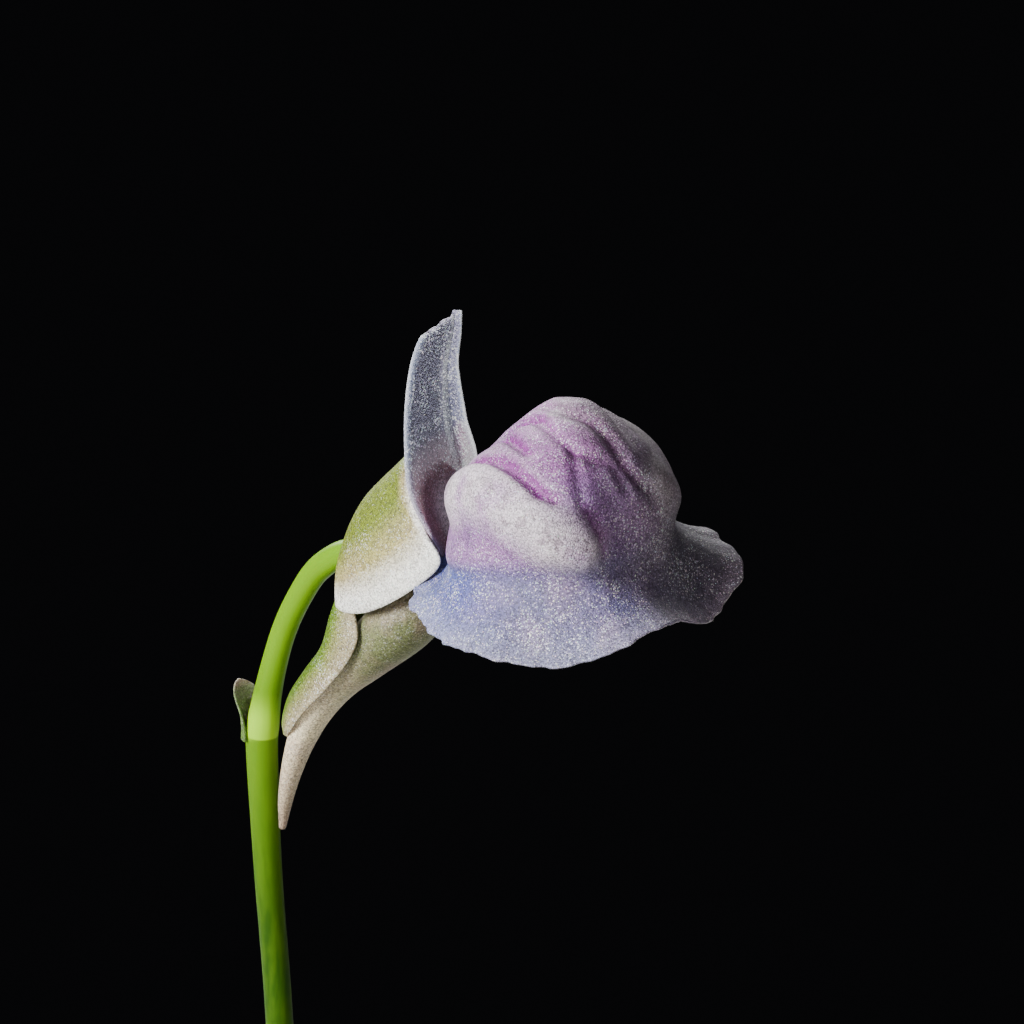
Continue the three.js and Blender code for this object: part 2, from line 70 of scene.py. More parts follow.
def direction(azimuth, elevation):
    """The direction from the plant to something that looks at it. Azimuth 0 looks along +Y."""
    level = math.cos(elevation)
    return Vector((math.sin(azimuth) * level, -math.cos(azimuth) * level, math.sin(elevation)))


def place_camera():
    back = direction(VIEW_AZIMUTH, VIEW_ELEVATION)
    lens = bpy.data.cameras.new("camera")
    lens.sensor_width = SENSOR_WIDTH
    lens.lens = SENSOR_WIDTH * VIEW_DISTANCE / VIEW_WIDTH
    lens.clip_start = 0.02
    lens.clip_end = 20
    camera = bpy.data.objects.new("camera", lens)
    camera.location = (VIEW_CENTRE + back * VIEW_DISTANCE) * MM
    camera.rotation_euler = (-back).to_track_quat("-Z", "Y").to_euler()
    bpy.context.scene.collection.objects.link(camera)
    bpy.context.scene.camera = camera
    return camera


camera = place_camera()
print("the camera stands at", [round(v, 4) for v in camera.location], "m")

# %% [markdown]
# ## Curves and meshes
#
# A plant has no straight edges, so nearly every piece here follows a smooth curve or a smooth list of
# sizes. The curve is a centripetal Catmull-Rom spline, the one that the CAD source uses, so the fine pieces
# keep its form. Meshes are made from grids of points with numpy, which is quick even for a petal of 90,000
# points.

# %% Curves
def smooth_line(points, shares):
    """Places and directions on a smooth curve through [x, z] or [x, y, z], at shares of the way along it."""
    points = np.array([(p[0], 0, p[1]) if len(p) == 2 else p for p in points], float)
    padded = np.vstack([2 * points[0] - points[1], points, 2 * points[-1] - points[-2]])
    at = np.clip(shares, 0, 1) * (len(points) - 1)
    i = np.minimum(at.astype(int), len(points) - 2)
    w = (at - i)[:, None]
    p0, p1, p2, p3 = (padded[i + k] for k in range(4))
    pairs = ((p0, p1), (p1, p2), (p2, p3))
    d0, d1, d2 = (np.linalg.norm(b - a, axis=1, keepdims=True) ** 0.5 for a, b in pairs)
    slope1 = ((p1 - p0) / d0 - (p2 - p0) / (d0 + d1) + (p2 - p1) / d1) * d1
    slope2 = ((p2 - p1) / d1 - (p3 - p1) / (d1 + d2) + (p3 - p2) / d2) * d1
    square = 3 * (p2 - p1) - 2 * slope1 - slope2
    cube = 2 * (p1 - p2) + slope1 + slope2
    places = p1 + w * (slope1 + w * (square + w * cube))
    ahead = slope1 + w * (2 * square + 3 * w * cube)
    return places, ahead / np.linalg.norm(ahead, axis=1, keepdims=True)


def eased(values, shares):
    """Sizes read smoothly between the entries of an even list."""
    values = np.asarray(values, float)
    slopes = np.gradient(values, axis=0)
    at = np.clip(shares, 0, 1) * (len(values) - 1)
    i = np.minimum(at.astype(int), len(values) - 2)
    w = at - i
    if values.ndim > 1:
        w = w[..., None]
    start = (1 + 2 * w) * (1 - w) ** 2 * values[i] + w * w * (3 - 2 * w) * values[i + 1]
    return start + w * (1 - w) ** 2 * slopes[i] - w * w * (1 - w) * slopes[i + 1]


def step(x, low, high):
    """0 below low, 1 above high and a smooth rise between them."""
    t = np.clip((x - low) / (high - low), 0, 1)
    return t * t * (3 - 2 * t)


def bump(x, place, width):
    """A bump of height 1 round a place."""
    return np.exp(-(((x - place) / width) ** 2))


def mix(a, b, share):
    return a + (b - a) * share


def bezier(a, b, c, d, t):
    return (1 - t) ** 3 * a + 3 * (1 - t) ** 2 * t * b + 3 * (1 - t) * t * t * c + t**3 * d


def unevenness(x, y, size, seed):
    """Smooth random hills between -1 and 1, each about so wide."""
    heights = np.random.default_rng(seed).uniform(-1, 1, (64, 64))
    column, row = np.floor(x / size).astype(int), np.floor(y / size).astype(int)
    across, along = step(x / size - column, 0, 1), step(y / size - row, 0, 1)
    near = mix(heights[row % 64, column % 64], heights[row % 64, (column + 1) % 64], across)
    far = mix(heights[(row + 1) % 64, column % 64], heights[(row + 1) % 64, (column + 1) % 64], across)
    return mix(near, far, along)


# %% Meshes from grids of points
def grid_faces(index):
    """The four-sided faces between neighbours of a grid of point numbers."""
    return np.stack([index[:-1, :-1], index[:-1, 1:], index[1:, 1:], index[1:, :-1]], axis=-1).reshape(-1, 4)


def thin_sheet(outer, inner):
    """The points and faces of a closed thin sheet between two grids of points."""
    rows, columns = outer.shape[:2]
    count = rows * columns
    index = np.arange(count).reshape(rows, columns)
    cells = grid_faces(index)
    around = np.concatenate([index[0, :-1], index[:-1, -1], index[-1, :0:-1], index[:0:-1, 0]])
    after = np.roll(around, -1)
    edge = np.stack([after, around, around + count, after + count], axis=-1)
    points = np.concatenate([outer.reshape(-1, 3), inner.reshape(-1, 3)])
    return points, np.concatenate([cells, cells[:, ::-1] + count, edge]).tolist()


def closed_tube(rings):
    """The points and faces of a tube through rings of points, closed at each end by a fan to its middle."""
    count, sides = rings.shape[:2]
    index = np.arange(count * sides).reshape(count, sides)
    walls = grid_faces(np.hstack([index, index[:, :1]])).tolist()
    after = np.roll(index, -1, axis=1)
    first, last = count * sides, count * sides + 1
    ends = [[first, int(b), int(a)] for a, b in zip(index[0], after[0])]
    ends += [[last, int(a), int(b)] for a, b in zip(index[-1], after[-1])]
    middles = [rings[0].mean(axis=0), rings[-1].mean(axis=0)]
    return np.vstack([rings.reshape(-1, 3), middles]), walls + ends


def make_piece(name, points, faces, masks=None):
    """A smooth object from points in millimetres. Masks are values at its points that a material can read."""
    mesh = bpy.data.meshes.new(name)
    mesh.from_pydata((np.asarray(points) * MM).tolist(), [], faces)
    for mask, values in (masks or {}).items():
        data = mesh.attributes.new(mask, "FLOAT", "POINT").data
        data.foreach_set("value", np.asarray(values, np.float32).ravel())
    work = bmesh.new()
    work.from_mesh(mesh)
    bmesh.ops.recalc_face_normals(work, faces=work.faces)
    open_edges = sum(not edge.is_manifold for edge in work.edges)
    work.to_mesh(mesh)
    work.free()
    mesh.shade_smooth()
    piece = bpy.data.objects.new(name, mesh)
    bpy.context.scene.collection.objects.link(piece)
    print(name, len(mesh.polygons), "faces,", open_edges, "open edges")
    return piece


def on_both_faces(masks):
    """The masks of a thin sheet, whose two faces have the same ones."""
    return {name: np.tile(np.asarray(values).ravel(), 2) for name, values in masks.items()}


def finish_piece(piece, material, slot, *nodes):
    """Gives a piece its material and its place in the frame, in the stead of some of its nodes."""
    piece.data.materials.append(material)
    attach(piece, "root")
    if nodes:
        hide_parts(*nodes)


# %% [markdown]
# ## Nodes and colours
#
# Materials and Geometry Nodes are both trees of nodes. One small function adds a node, sets its options and
# fills its inputs, so that a tree reads from top to bottom like a recipe. Colours are written as on a
# colour card, in sRGB, and a shader works with light, so they are made linear first.

# %% Nodes and colours
def linear(hex_colour):
    """An sRGB colour such as #a99ac4 as the linear one that a shader needs."""
    parts = [int(hex_colour[i : i + 2], 16) / 255 for i in (1, 3, 5)]
    return [*(p / 12.92 if p <= 0.04045 else ((p + 0.055) / 1.055) ** 2.4 for p in parts), 1]


def add_node(tree, kind, inputs=None, **options):
    """Adds a node. Its inputs are named, or a list in the node's own order. Each is a value, a socket or a
    node, whose first output is then linked."""
    made = tree.nodes.new(kind)
    for option, value in options.items():
        setattr(made, option, value)
    if isinstance(inputs, list):
        inputs = {socket.identifier: value for socket, value in zip(made.inputs, inputs)}
    for name, value in (inputs or {}).items():
        socket = next(s for s in made.inputs if s.enabled and name in (s.identifier, s.name))
        if isinstance(value, bpy.types.Node):
            value = next(s for s in value.outputs if s.enabled)
        if isinstance(value, bpy.types.NodeSocket):
            tree.links.new(value, socket)
        else:
            socket.default_value = value
    return made


def new_material(name):
    """An empty material, and add_node for its tree."""
    material = bpy.data.materials.new(name)
    material.use_nodes = True
    material.node_tree.nodes.clear()
    return material, partial(add_node, material.node_tree)


def finish_shader(add, inputs):
    """Ends a material with a shader that has these inputs."""
    add("ShaderNodeOutputMaterial", {"Surface": add("ShaderNodeBsdfPrincipled", inputs)})


def per_metre(size_in_mm):
    """The scale at which a pattern repeats every so many millimetres."""
    return 1 / (size_in_mm * MM)


def layered(add, base, layers):
    """A base colour with others laid over it. Each has a value, where on it the layer starts and is full, how
    much of it shows there, and its colour, as text or as what a node gives."""
    colour = linear(base) if isinstance(base, str) else base
    for value, start, full, most, over in layers:
        inputs = {"Value": value, "From Min": start, "From Max": full, "To Max": most}
        mask = add("ShaderNodeMapRange", inputs)
        over = linear(over) if isinstance(over, str) else over
        colour = add("ShaderNodeMix", {"Factor": mask, "A": colour, "B": over}, data_type="RGBA")
    return colour


# %% [markdown]
# ## The petals' skin
#
# A petal is a sheet two or three cells thick, with hardly any colour of its own but the sap's. Its surface
# cells are small domes, about 0.04 mm across, and each throws back its own glint, which makes the petal
# glisten like fine snow. The skin is made in three layers: a broad colour that masks on the mesh decide,
# clouds of a second colour from noise, and two Voronoi patterns. One is at the cells' size, raises the
# domes and paints some of them white, as painted glints. The other paints a few larger spots white, for
# painted glints that spread over their neighbours. Light passes through a petal, so the shader also has
# some subsurface scattering, over a few tenths of a millimetre.

# %% A petal material
CELL_WIDTH = 0.042
# The colour of the painted glints.
PAINTED_GLINT = linear("#fbfbff")


def gleaming_cells(add, spot, width, uneven, fewest):
    """A layer of cells, how brightly each of them gleams as a painted glint, and its draw of two more
    numbers.
    """
    cells = add("ShaderNodeTexVoronoi", {"Vector": spot, "Scale": per_metre(width)})
    draw = add("ShaderNodeSeparateColor", {"Color": cells.outputs["Color"]})
    chance = add("ShaderNodeMath", [draw.outputs["Red"], uneven], operation="ADD")
    bright = add("ShaderNodeMapRange", {
        "Value": chance, "From Min": fewest, "From Max": fewest + 0.3,
    })
    dot = add("ShaderNodeMapRange", {"Value": cells.outputs["Distance"], "From Min": 0.5, "From Max": 0.22})
    gleam = add("ShaderNodeMath", [bright, dot], operation="MULTIPLY")
    return cells, draw, gleam


def glistening(add, colour, glints, dome):
    """Petal cells over a colour: all of them are domed, and some are painted white as glints, more where
    glints is high.
    """
    spot = add("ShaderNodeTexCoord").outputs["Object"]
    drift = add("ShaderNodeTexNoise", {"Vector": spot, "Scale": per_metre(0.8), "Detail": 4.0})
    uneven = add("ShaderNodeMapRange", {"Value": drift, "From Min": 0.35, "From Max": 0.7, "To Max": 0.35})
    cells, draw, small = gleaming_cells(add, spot, CELL_WIDTH, uneven, 0.82)
    large = gleaming_cells(add, spot, 1.8 * CELL_WIDTH, uneven, 1.0)[2]
    away = cells.outputs["Distance"]
    hues = add("ShaderNodeTexWhiteNoise", {"Vector": cells.outputs["Position"]}).outputs["Color"]
    hue = add("ShaderNodeMix", {"Factor": 0.35, "A": PAINTED_GLINT, "B": hues}, data_type="RGBA")
    either = add("ShaderNodeMath", [small, large], operation="MAXIMUM")
    gleam = add("ShaderNodeMath", [either, glints], operation="MULTIPLY")
    spread = add("ShaderNodeMapRange", {"Value": draw.outputs["Green"], "To Min": 0.3, "To Max": 1.0})
    varied = add("ShaderNodeVectorMath", {"Vector": colour, "Scale": spread}, operation="SCALE")
    # Painted glints: the gleaming cells are mixed towards white, each with a faint hue of its own.
    colour = layered(add, varied, [(gleam, 0.0, 1.0, 1.0, hue)])
    height = add("ShaderNodeMath", [0.6, away], operation="SUBTRACT")
    relief = add("ShaderNodeBump", {"Height": height, "Strength": dome, "Distance": 0.02 * MM})
    return colour, relief, gleam


def petal_shader(add, colour, relief, gleam, depth, through, reach=(1.0, 0.8, 0.95)):
    rough = add("ShaderNodeMapRange", {"Value": gleam, "From Max": 0.6, "To Min": 0.55, "To Max": 0.22})
    finish_shader(add, {
        "Base Color": colour,
        "Roughness": rough,
        "IOR": 1.42,
        "Normal": relief,
        "Subsurface Weight": through,
        "Subsurface Radius": reach,
        "Subsurface Scale": depth * MM,
    })


# %% [markdown]
# ## The lower lip
#
# The lower lip is the showy petal. Its middle is blown up into the palate, a dome of two cheeks that shuts
# the throat, with folds that run over it from the throat to a shallow valley in front. Round the palate it
# spreads into a skirt with a wavy rim. It could be sculpted by hand. It is worked out instead, as the CAD
# solid is, from its slope at every turn round the palate's middle, because then one formula gives the form,
# the folds and the masks for its colours.

# %% The lower lip's sizes
NODE_HEIGHT = 106
THROAT = np.array([7, 0, NODE_HEIGHT + 6.3])
LIP_ROLL = math.radians(12)
PALATE_CENTRE = 3.95
PALATE_BACK = 3.25
PALATE_FRONT = 3.15
PALATE_HALF_WIDTH = 3.1
PALATE_TOP = 5.9
PALATE_FOOT = 2.5
SKIRT_LEVEL = 0.45
PALATE_SHARE = 0.72
LIP_THICKNESS = 0.2
LIP_CELLS = 216
# The rim's distance from the palate's middle at each turn from the front, in degrees.
RIM = [
    (-180, 3.9), (-165, 4.5), (-150, 4.55), (-128, 4.3), (-107, 4.4), (-90, 4.55), (-66, 4.55), (-50, 4.75),
    (-34, 4.85), (-18, 4.55), (0, 4.05), (22, 4.15), (48, 5.1), (60, 4.85), (75, 4.3), (107, 3.9), (128, 4.1),
    (152, 4.7), (180, 3.9),
]

# %% [markdown]
# Broad forms and then the narrow furrows are pressed into that slope or raised from it, each along a line
# on the palate. A line is a list of places in the lip's own frame, each with how strong the line is there.

# %% The lines on the palate
NEAR_CHEEK = [
    (1.9, -1.9, 4.1, 1), (2.7, -2.1, 4.6, 1), (4.0, -2.5, 4.6, 1), (5.0, -2.7, 4.2, 1), (5.7, -2.6, 3.6, 1),
    (6.3, -2.2, 3.1, 0.8),
]
FAR_CHEEK = [
    (1.9, 2.3, 3.9, 1), (3.0, 2.9, 4.1, 1), (4.2, 3.1, 4.0, 1), (5.4, 2.9, 3.6, 1), (6.2, 2.5, 3.0, 0.8),
]
FAR_FRONT = [(6.7, 1.3, 4.5, 0.2), (6.9, 1.5, 3.8, 1), (6.8, 1.9, 2.9, 1)]
FAR_SHOULDER = [(4.8, 1.7, 5.7, 0.4), (5.7, 1.4, 5.4, 1), (6.4, 1.4, 4.7, 0.7)]
FAR_BROW = [(3.4, 2.2, 5.5, 0.1), (4.6, 2.5, 5.2, 1), (5.6, 2.4, 4.7, 1), (6.4, 2.0, 4.0, 0.3)]
PEAK = [(3.6, 1.2, 5.8, 0.8), (4.4, 0.9, 5.9, 1), (5.0, 0.7, 5.8, 0.6)]
BACK_BROW = [(1.2, 0, 4.8, 1), (2.2, -0.2, 5.4, 1), (3.0, -0.3, 5.8, 0.3)]
FRONT_VALLEY = [
    (5.5, -0.7, 5.7, 0.2), (6.3, -0.9, 5.0, 0.7), (6.8, -1.0, 4.0, 1), (7.0, -0.9, 3.2, 1),
    (6.9, -0.9, 2.4, 0.6), (6.9, -0.9, 1.8, 0),
]
NEAR_FLANK = [
    (1.2, -1.9, 2.9, 1), (2.4, -2.8, 3.0, 1), (3.6, -3.1, 2.9, 1), (5.0, -3.0, 2.5, 1), (6.1, -2.6, 2.1, 0.8),
]
FAR_FLANK = [
    (1.2, 1.9, 2.6, 1), (2.4, 2.9, 2.6, 1), (3.6, 3.1, 2.5, 1), (5.0, 3.0, 2.1, 1), (6.1, 2.6, 1.8, 0.8),
]
# Height in mm, width in mm and the line.
BROAD_FORMS = [
    (-0.38, 0.95, FRONT_VALLEY), (0.36, 0.85, NEAR_CHEEK), (0.3, 0.85, FAR_CHEEK), (0.25, 0.6, FAR_FRONT),
    (-0.36, 1.25, FAR_SHOULDER), (-0.26, 1.0, FAR_BROW), (-0.24, 0.8, BACK_BROW), (0.2, 0.9, PEAK),
    (-0.15, 0.6, NEAR_FLANK), (-0.15, 0.6, FAR_FLANK),
]
DEEPEST = -0.3
# A furrow's colour is this much wider than its groove.
FOLD_SPREAD = 1.3
FURROWS = [
    (-0.3, 0.2, [
        (1.6, -1.3, 4.5, 0.9), (2.3, -1.5, 4.9, 1), (3.2, -1.7, 5.2, 1), (3.9, -2.0, 5.3, 1),
        (4.6, -2.2, 5.2, 1), (5.3, -2.4, 5.0, 1), (5.7, -2.3, 4.8, 0.7), (6.1, -2.0, 4.5, 0),
    ]),
    (-0.16, 0.34, [
        (5.8, -1.9, 4.9, 0), (6.2, -1.8, 4.4, 0.6), (6.5, -1.6, 3.9, 1), (6.7, -1.5, 3.4, 1),
        (6.8, -1.6, 2.9, 0.8), (6.8, -1.8, 2.3, 0),
    ]),
    (-0.26, 0.17, [
        (2.2, -0.5, 5.0, 0.8), (3.0, -0.7, 5.4, 1), (3.6, -1.1, 5.5, 1), (4.3, -1.5, 5.6, 0.8),
        (4.8, -1.6, 5.5, 0),
    ]),
    (-0.23, 0.21, [
        (2.4, 0.1, 5.1, 0.9), (3.2, 0.0, 5.6, 1), (3.7, 0.0, 5.7, 1), (4.4, -0.5, 5.8, 0.8),
        (5.0, -0.8, 5.6, 0.6), (5.4, -0.9, 5.5, 0.5), (5.7, -1.3, 5.1, 0.35), (6.1, -1.7, 4.6, 0.3),
        (6.2, -1.8, 4.4, 0.1),
    ]),
    (-0.13, 0.2, [
        (5.4, -0.9, 5.5, 1), (5.8, -0.6, 5.1, 1), (6.0, -0.2, 4.7, 1), (6.5, -0.2, 4.2, 0.7),
        (6.7, -0.3, 3.9, 0),
    ]),
    (-0.18, 0.24, [
        (2.3, 0.8, 5.0, 0.5), (3.2, 0.9, 5.5, 0.8), (3.8, 0.6, 5.7, 1), (4.6, 0.3, 5.7, 1),
        (5.3, 0.3, 5.6, 1), (5.8, 0.2, 5.3, 1), (6.3, 0.1, 4.7, 1), (6.6, 0.3, 4.2, 0.9),
        (6.8, 0.6, 3.7, 0.7), (7.0, 0.7, 3.1, 0),
    ]),
    (-0.17, 0.25, [
        (2.2, 1.6, 4.7, 0.6), (3.2, 1.6, 5.4, 1), (4.3, 1.5, 5.6, 1), (5.0, 1.5, 5.5, 1), (5.4, 1.3, 5.3, 1),
        (6.0, 1.0, 5.0, 0.8), (6.6, 1.0, 4.2, 0),
    ]),
]
# The near cheek has two short marks of colour and no furrow.
MARKS = [
    (0, 0.2, [(2.6, -2.4, 4.8, 0.8), (2.5, -2.6, 4.3, 1), (2.6, -2.7, 4.0, 0.5)]),
    (0, 0.22, [(3.4, -2.8, 4.6, 0.4), (3.5, -2.9, 4.4, 1), (3.7, -3.0, 3.9, 0.6)]),
]


def closeness(points, line, width):
    """How close each point is to a line, from 0 to 1, times how strong the line is there."""
    line = np.array(line, float)
    best = np.zeros(points.shape[:-1])
    for a, b in zip(line[:-1], line[1:]):
        ahead = b[:3] - a[:3]
        share = np.clip(((points - a[:3]) @ ahead) / (ahead @ ahead), 0, 1)
        away = np.linalg.norm(points - a[:3] - share[..., None] * ahead, axis=-1)
        best = np.maximum(best, bump(away, 0, width) * mix(a[3], b[3], share))
    return best


# %% The lower lip's form
def rim_reach(turn):
    degrees = np.degrees(turn)
    at = np.array([row[0] for row in RIM], float)
    reach = np.array([row[1] for row in RIM], float)
    i = np.clip(np.searchsorted(at, degrees, side="right") - 1, 0, len(RIM) - 2)
    return mix(reach[i], reach[i + 1], step(degrees, at[i], at[i + 1]))


def rim_height(turn):
    wave = 0.07 * np.sin(3 * turn + 0.6) + 0.07 * np.sin(7 * turn)
    droop = 1.15 * bump(turn, 0.36, 0.45) + 0.25 * bump(np.abs(turn), 2.7, 0.5)
    lift = 0.55 * bump(turn, -0.35, 0.4) + 0.35 * bump(turn, 1.75, 0.55)
    return SKIRT_LEVEL + wave + lift + 0.8 * bump(np.abs(turn), math.pi, 0.4) - droop


def palate_reach(turn):
    power = 2.4
    length = np.where(np.cos(turn) > 0, PALATE_FRONT, PALATE_BACK)
    along = np.abs(np.cos(turn)) / length
    across = np.abs(np.sin(turn)) / PALATE_HALF_WIDTH
    return (along**power + across**power) ** (-1 / power)


def smooth_lip(turn, share, inset):
    """The lip before its cheeks and furrows, at a share of the way from the palate's top to the rim."""
    edge = rim_height(turn) - inset
    top = PALATE_TOP - inset
    foot = PALATE_FOOT - 0.5 * bump(turn, 0, 0.6) - 0.8 * bump(np.abs(turn), 2.7, 0.45)
    reach = palate_reach(turn) - inset
    narrow = reach - 0.08
    rim = rim_reach(turn)
    t = np.clip(share / PALATE_SHARE, 0, 1)
    s = np.clip((share - PALATE_SHARE) / (1 - PALATE_SHARE), 0, 1)
    crinkle = 0.04 * np.sin(17 * turn + 1) + 0.03 * np.sin(29 * turn) + 0.02 * np.sin(53 * turn + 2)
    palate_out = bezier(0, 0.66 * reach, reach + 0.22, narrow, t)
    palate_up = bezier(top, top + 0.12, mix(foot, top, 0.62), foot, t)
    skirt_out = bezier(narrow, narrow - 0.1, mix(reach, rim, 0.42), rim, s) + crinkle * s**3
    skirt_up = bezier(foot, mix(foot, edge, 0.4), mix(foot, edge, 0.82), edge, s)
    out = np.where(share > PALATE_SHARE, skirt_out, palate_out)
    up = np.where(share > PALATE_SHARE, skirt_up, palate_up)
    x = PALATE_CENTRE + np.cos(turn) * out
    y = np.sin(turn) * out
    tilt = 0.26 * (x - PALATE_CENTRE) + 0.07 * y - 0.1 * step(x, 3.5, 7) * (x - 3.5)
    return np.stack([x, y, up + tilt * step(up, 1.2, 3.2)], axis=-1)


def raised(points, forms):
    """A grid of points moved outward along its own normals by forms, each a height, a width and a line."""
    normals = np.cross(np.gradient(points, axis=0), np.gradient(points, axis=1))
    normals /= np.maximum(np.linalg.norm(normals, axis=-1, keepdims=True), 1e-12)
    height = sum(height * closeness(points, line, width) for height, width, line in forms)
    return points + normals * height[..., None]


def rounded_places(across, ahead):
    """The turn and the share of places on a square grid that is drawn out to a round one."""
    share = np.maximum(np.abs(across), np.abs(ahead))
    safe = np.where(share == 0, 1, share)
    quarter = math.pi / 4
    forward = np.abs(ahead) >= np.abs(across)
    tilt = quarter * across / np.where(forward, np.where(ahead == 0, 1, ahead), safe)
    fore = np.where(ahead > 0, tilt, np.arctan2(-np.sin(tilt), -np.cos(tilt)))
    slant = quarter * ahead / np.where(forward, safe, np.where(across == 0, 1, np.abs(across)))
    return np.where(forward, fore, np.sign(across) * (2 * quarter - slant)), share


def in_flower(points):
    """Places in the lip's own frame, turned and moved to where they are on the plant."""
    x, y, z = np.moveaxis(points, -1, 0)
    cosine, sine = math.cos(LIP_ROLL), math.sin(LIP_ROLL)
    return np.stack([x, y * cosine - z * sine, y * sine + z * cosine], axis=-1) + THROAT


def laid_on(points, furrows):
    """Furrows with each place of their lines moved to the nearest point of a surface."""
    flat = points.reshape(-1, 3)

    def nearest(place):
        return flat[np.argmin(((flat - place) ** 2).sum(axis=1))]

    return [
        (height, width, [(*nearest(place), strength) for *place, strength in line])
        for height, width, line in furrows
    ]


def make_lower_lip():
    spread = np.linspace(-1, 1, LIP_CELLS + 1)
    turn, share = rounded_places(*np.meshgrid(spread, spread))
    inset = LIP_THICKNESS * (1 - 0.75 * step(share, 0.85, 1))
    full = raised(smooth_lip(turn, share, 0), BROAD_FORMS)
    furrows = laid_on(full, FURROWS)
    outer = raised(full, furrows)
    inner = raised(smooth_lip(turn, share, inset), BROAD_FORMS)
    inner = raised(inner, laid_on(inner, FURROWS))
    points, faces = thin_sheet(in_flower(outer), in_flower(inner))
    z = outer[..., 2]
    masks = {
        "skirt": step(share, PALATE_SHARE - 0.09, PALATE_SHARE + 0.05),
        "rim": step(share, 0.86, 1),
        "fold": np.max([
            closeness(full, line, width * FOLD_SPREAD) * height / DEEPEST for height, width, line in furrows
        ], axis=0),
        "mark": np.max([closeness(full, line, width) for _, width, line in laid_on(full, MARKS)], axis=0),
        "cheek": np.max([
            closeness(full, line, width)
            for line, width in ((NEAR_CHEEK, 1.05), (FAR_CHEEK, 1.0), (FAR_FRONT, 1.0), (FAR_BROW, 0.8))
        ], axis=0),
        "crown": step(z, 4.6, 5.6),
        # Partly the skirt's own pinkish grey at the front, partly painted shade: the front and far side are
        # painted greyer and darker.
        "front": step(turn, -0.8, 0.3) * (1 - step(turn, 1.6, 2.4)),
        "blue": step(np.abs(turn), 1.2, 2.2),
        # Painted shade: the skirt's far front lobe is painted dark.
        "far_lobe_shade": step(share, 0.68, 0.8) * step(turn, 0.1, 0.7) * (1 - step(turn, 1.0, 1.5)),
    }
    return make_piece("lower_lip", points, faces, on_both_faces(masks))


lower_lip = make_lower_lip()

# %% [markdown]
# The lower lip's colours follow its form: cream white on the cheeks, with two small marks on the near one,
# pinkish white on the ridges between the furrows, purple in the furrows and low on the cheeks' flanks, and
# a blue violet on the skirt that pales at the rim. The front and the far side are greyer and darker, partly
# the skirt's own pinkish grey and partly painted shade, and the skirt's far front lobe is painted dark, as
# painted shade.

# %% The lower lip's material
def lower_lip_material():
    material, add = new_material("lower lip petal")
    skirt, rim, fold, mark, cheek, crown, front, blue, far_lobe_shade = (
        add("ShaderNodeAttribute", attribute_name=name).outputs["Fac"]
        for name in ("skirt", "rim", "fold", "mark", "cheek", "crown", "front", "blue", "far_lobe_shade")
    )
    spot = add("ShaderNodeTexCoord").outputs["Object"]
    cloud = add("ShaderNodeTexNoise", {"Vector": spot, "Scale": per_metre(1.6), "Detail": 5.0})
    fine = add("ShaderNodeTexNoise", {"Vector": spot, "Scale": per_metre(0.35), "Detail": 4.0})
    on_skirt = add("ShaderNodeMath", [cloud, skirt], operation="MULTIPLY")
    on_sides = add("ShaderNodeMath", [blue, skirt], operation="MULTIPLY")
    on_cheek = add("ShaderNodeMath", [cloud, cheek], operation="MULTIPLY")
    mottle = add("ShaderNodeMath", [fine, cheek], operation="MULTIPLY")
    in_fold = add("ShaderNodeMath", [fine, 0.75], operation="ADD")
    in_fold = add("ShaderNodeMath", [in_fold, fold], operation="MULTIPLY")
    colour = layered(add, "#8c649a", [
        (cloud, 0.4, 0.7, 0.6, "#a874ac"),
        (crown, 0.0, 1.0, 0.8, "#965c96"),
        (cheek, 0.2, 1.0, 0.95, "#dcd4d4"),
        (on_cheek, 0.38, 0.5, 0.6, "#a884b0"),
        (mottle, 0.4, 0.52, 0.7, "#94808e"),
        (skirt, 0.0, 1.0, 0.95, "#5c5a82"),
        (on_skirt, 0.4, 0.6, 0.6, "#8c7496"),
        (on_sides, 0.0, 1.0, 0.8, "#4c589e"),
        (rim, 0.0, 1.0, 0.35, "#a8acc0"),
        (mark, 0.1, 1.0, 0.6, "#9a62a4"),
        (in_fold, 0.32, 0.85, 0.9, "#862c86"),
        # Partly the skirt's own pinkish grey, partly painted shade over the front and far side.
        (front, 0.0, 1.0, 0.65, "#6c6066"),
        # Painted shade on the skirt's far front lobe.
        (far_lobe_shade, 0.0, 1.0, 0.6, "#32303c"),
    ])
    # More painted glints on the skirt than on the palate.
    glints = add("ShaderNodeMapRange", {"Value": skirt, "To Min": 0.8, "To Max": 1.0})
    colour, relief, gleam = glistening(add, colour, glints, 0.7)
    petal_shader(add, colour, relief, gleam, 0.4, 0.2)
    return material


finish_piece(lower_lip, lower_lip_material(), "lower_lip", "corolla_lower_lip")

# %% [markdown]
# ## The upper lip
#
# The upper lip stands up behind the palate. Its near side bends slightly back and its far side comes
# forward, with a channel between them, and its tip is slightly stepped. It is a strip that follows one line
# up its middle, with a width and a depth for each side at each height, so a grid of points across and along
# it is all that it needs.

# %% The upper lip
UPPER_LIP_LINE = [
    (7.05, 6.9), (6.5, 7.85), (6.08, 9.2), (5.88, 10.6), (5.92, 12.2), (6.15, 13.3), (6.45, 14.05),
]
UPPER_LIP_MIDDLE = 0.6
UPPER_LIP_NEAR_WIDTHS = [1.52, 2.35, 2.19, 1.66, 1.19, 1.16, 0.94]
UPPER_LIP_FAR_WIDTHS = [0.1, 0.6, 1.1, 0.62, 0.32, 0.38, 0.1]
UPPER_LIP_NEAR_CUP = [0.2, 0.75, 0.35, 0, -0.1, -0.05, 0]
UPPER_LIP_FAR_CUP = [0.05, 0.3, 0.5, 0.55, 0.5, 0.4, 0.25]
UPPER_LIP_THICKNESS = 0.16
CHANNEL_PLACE = 0.7
CHANNEL_DEPTH = 0.12


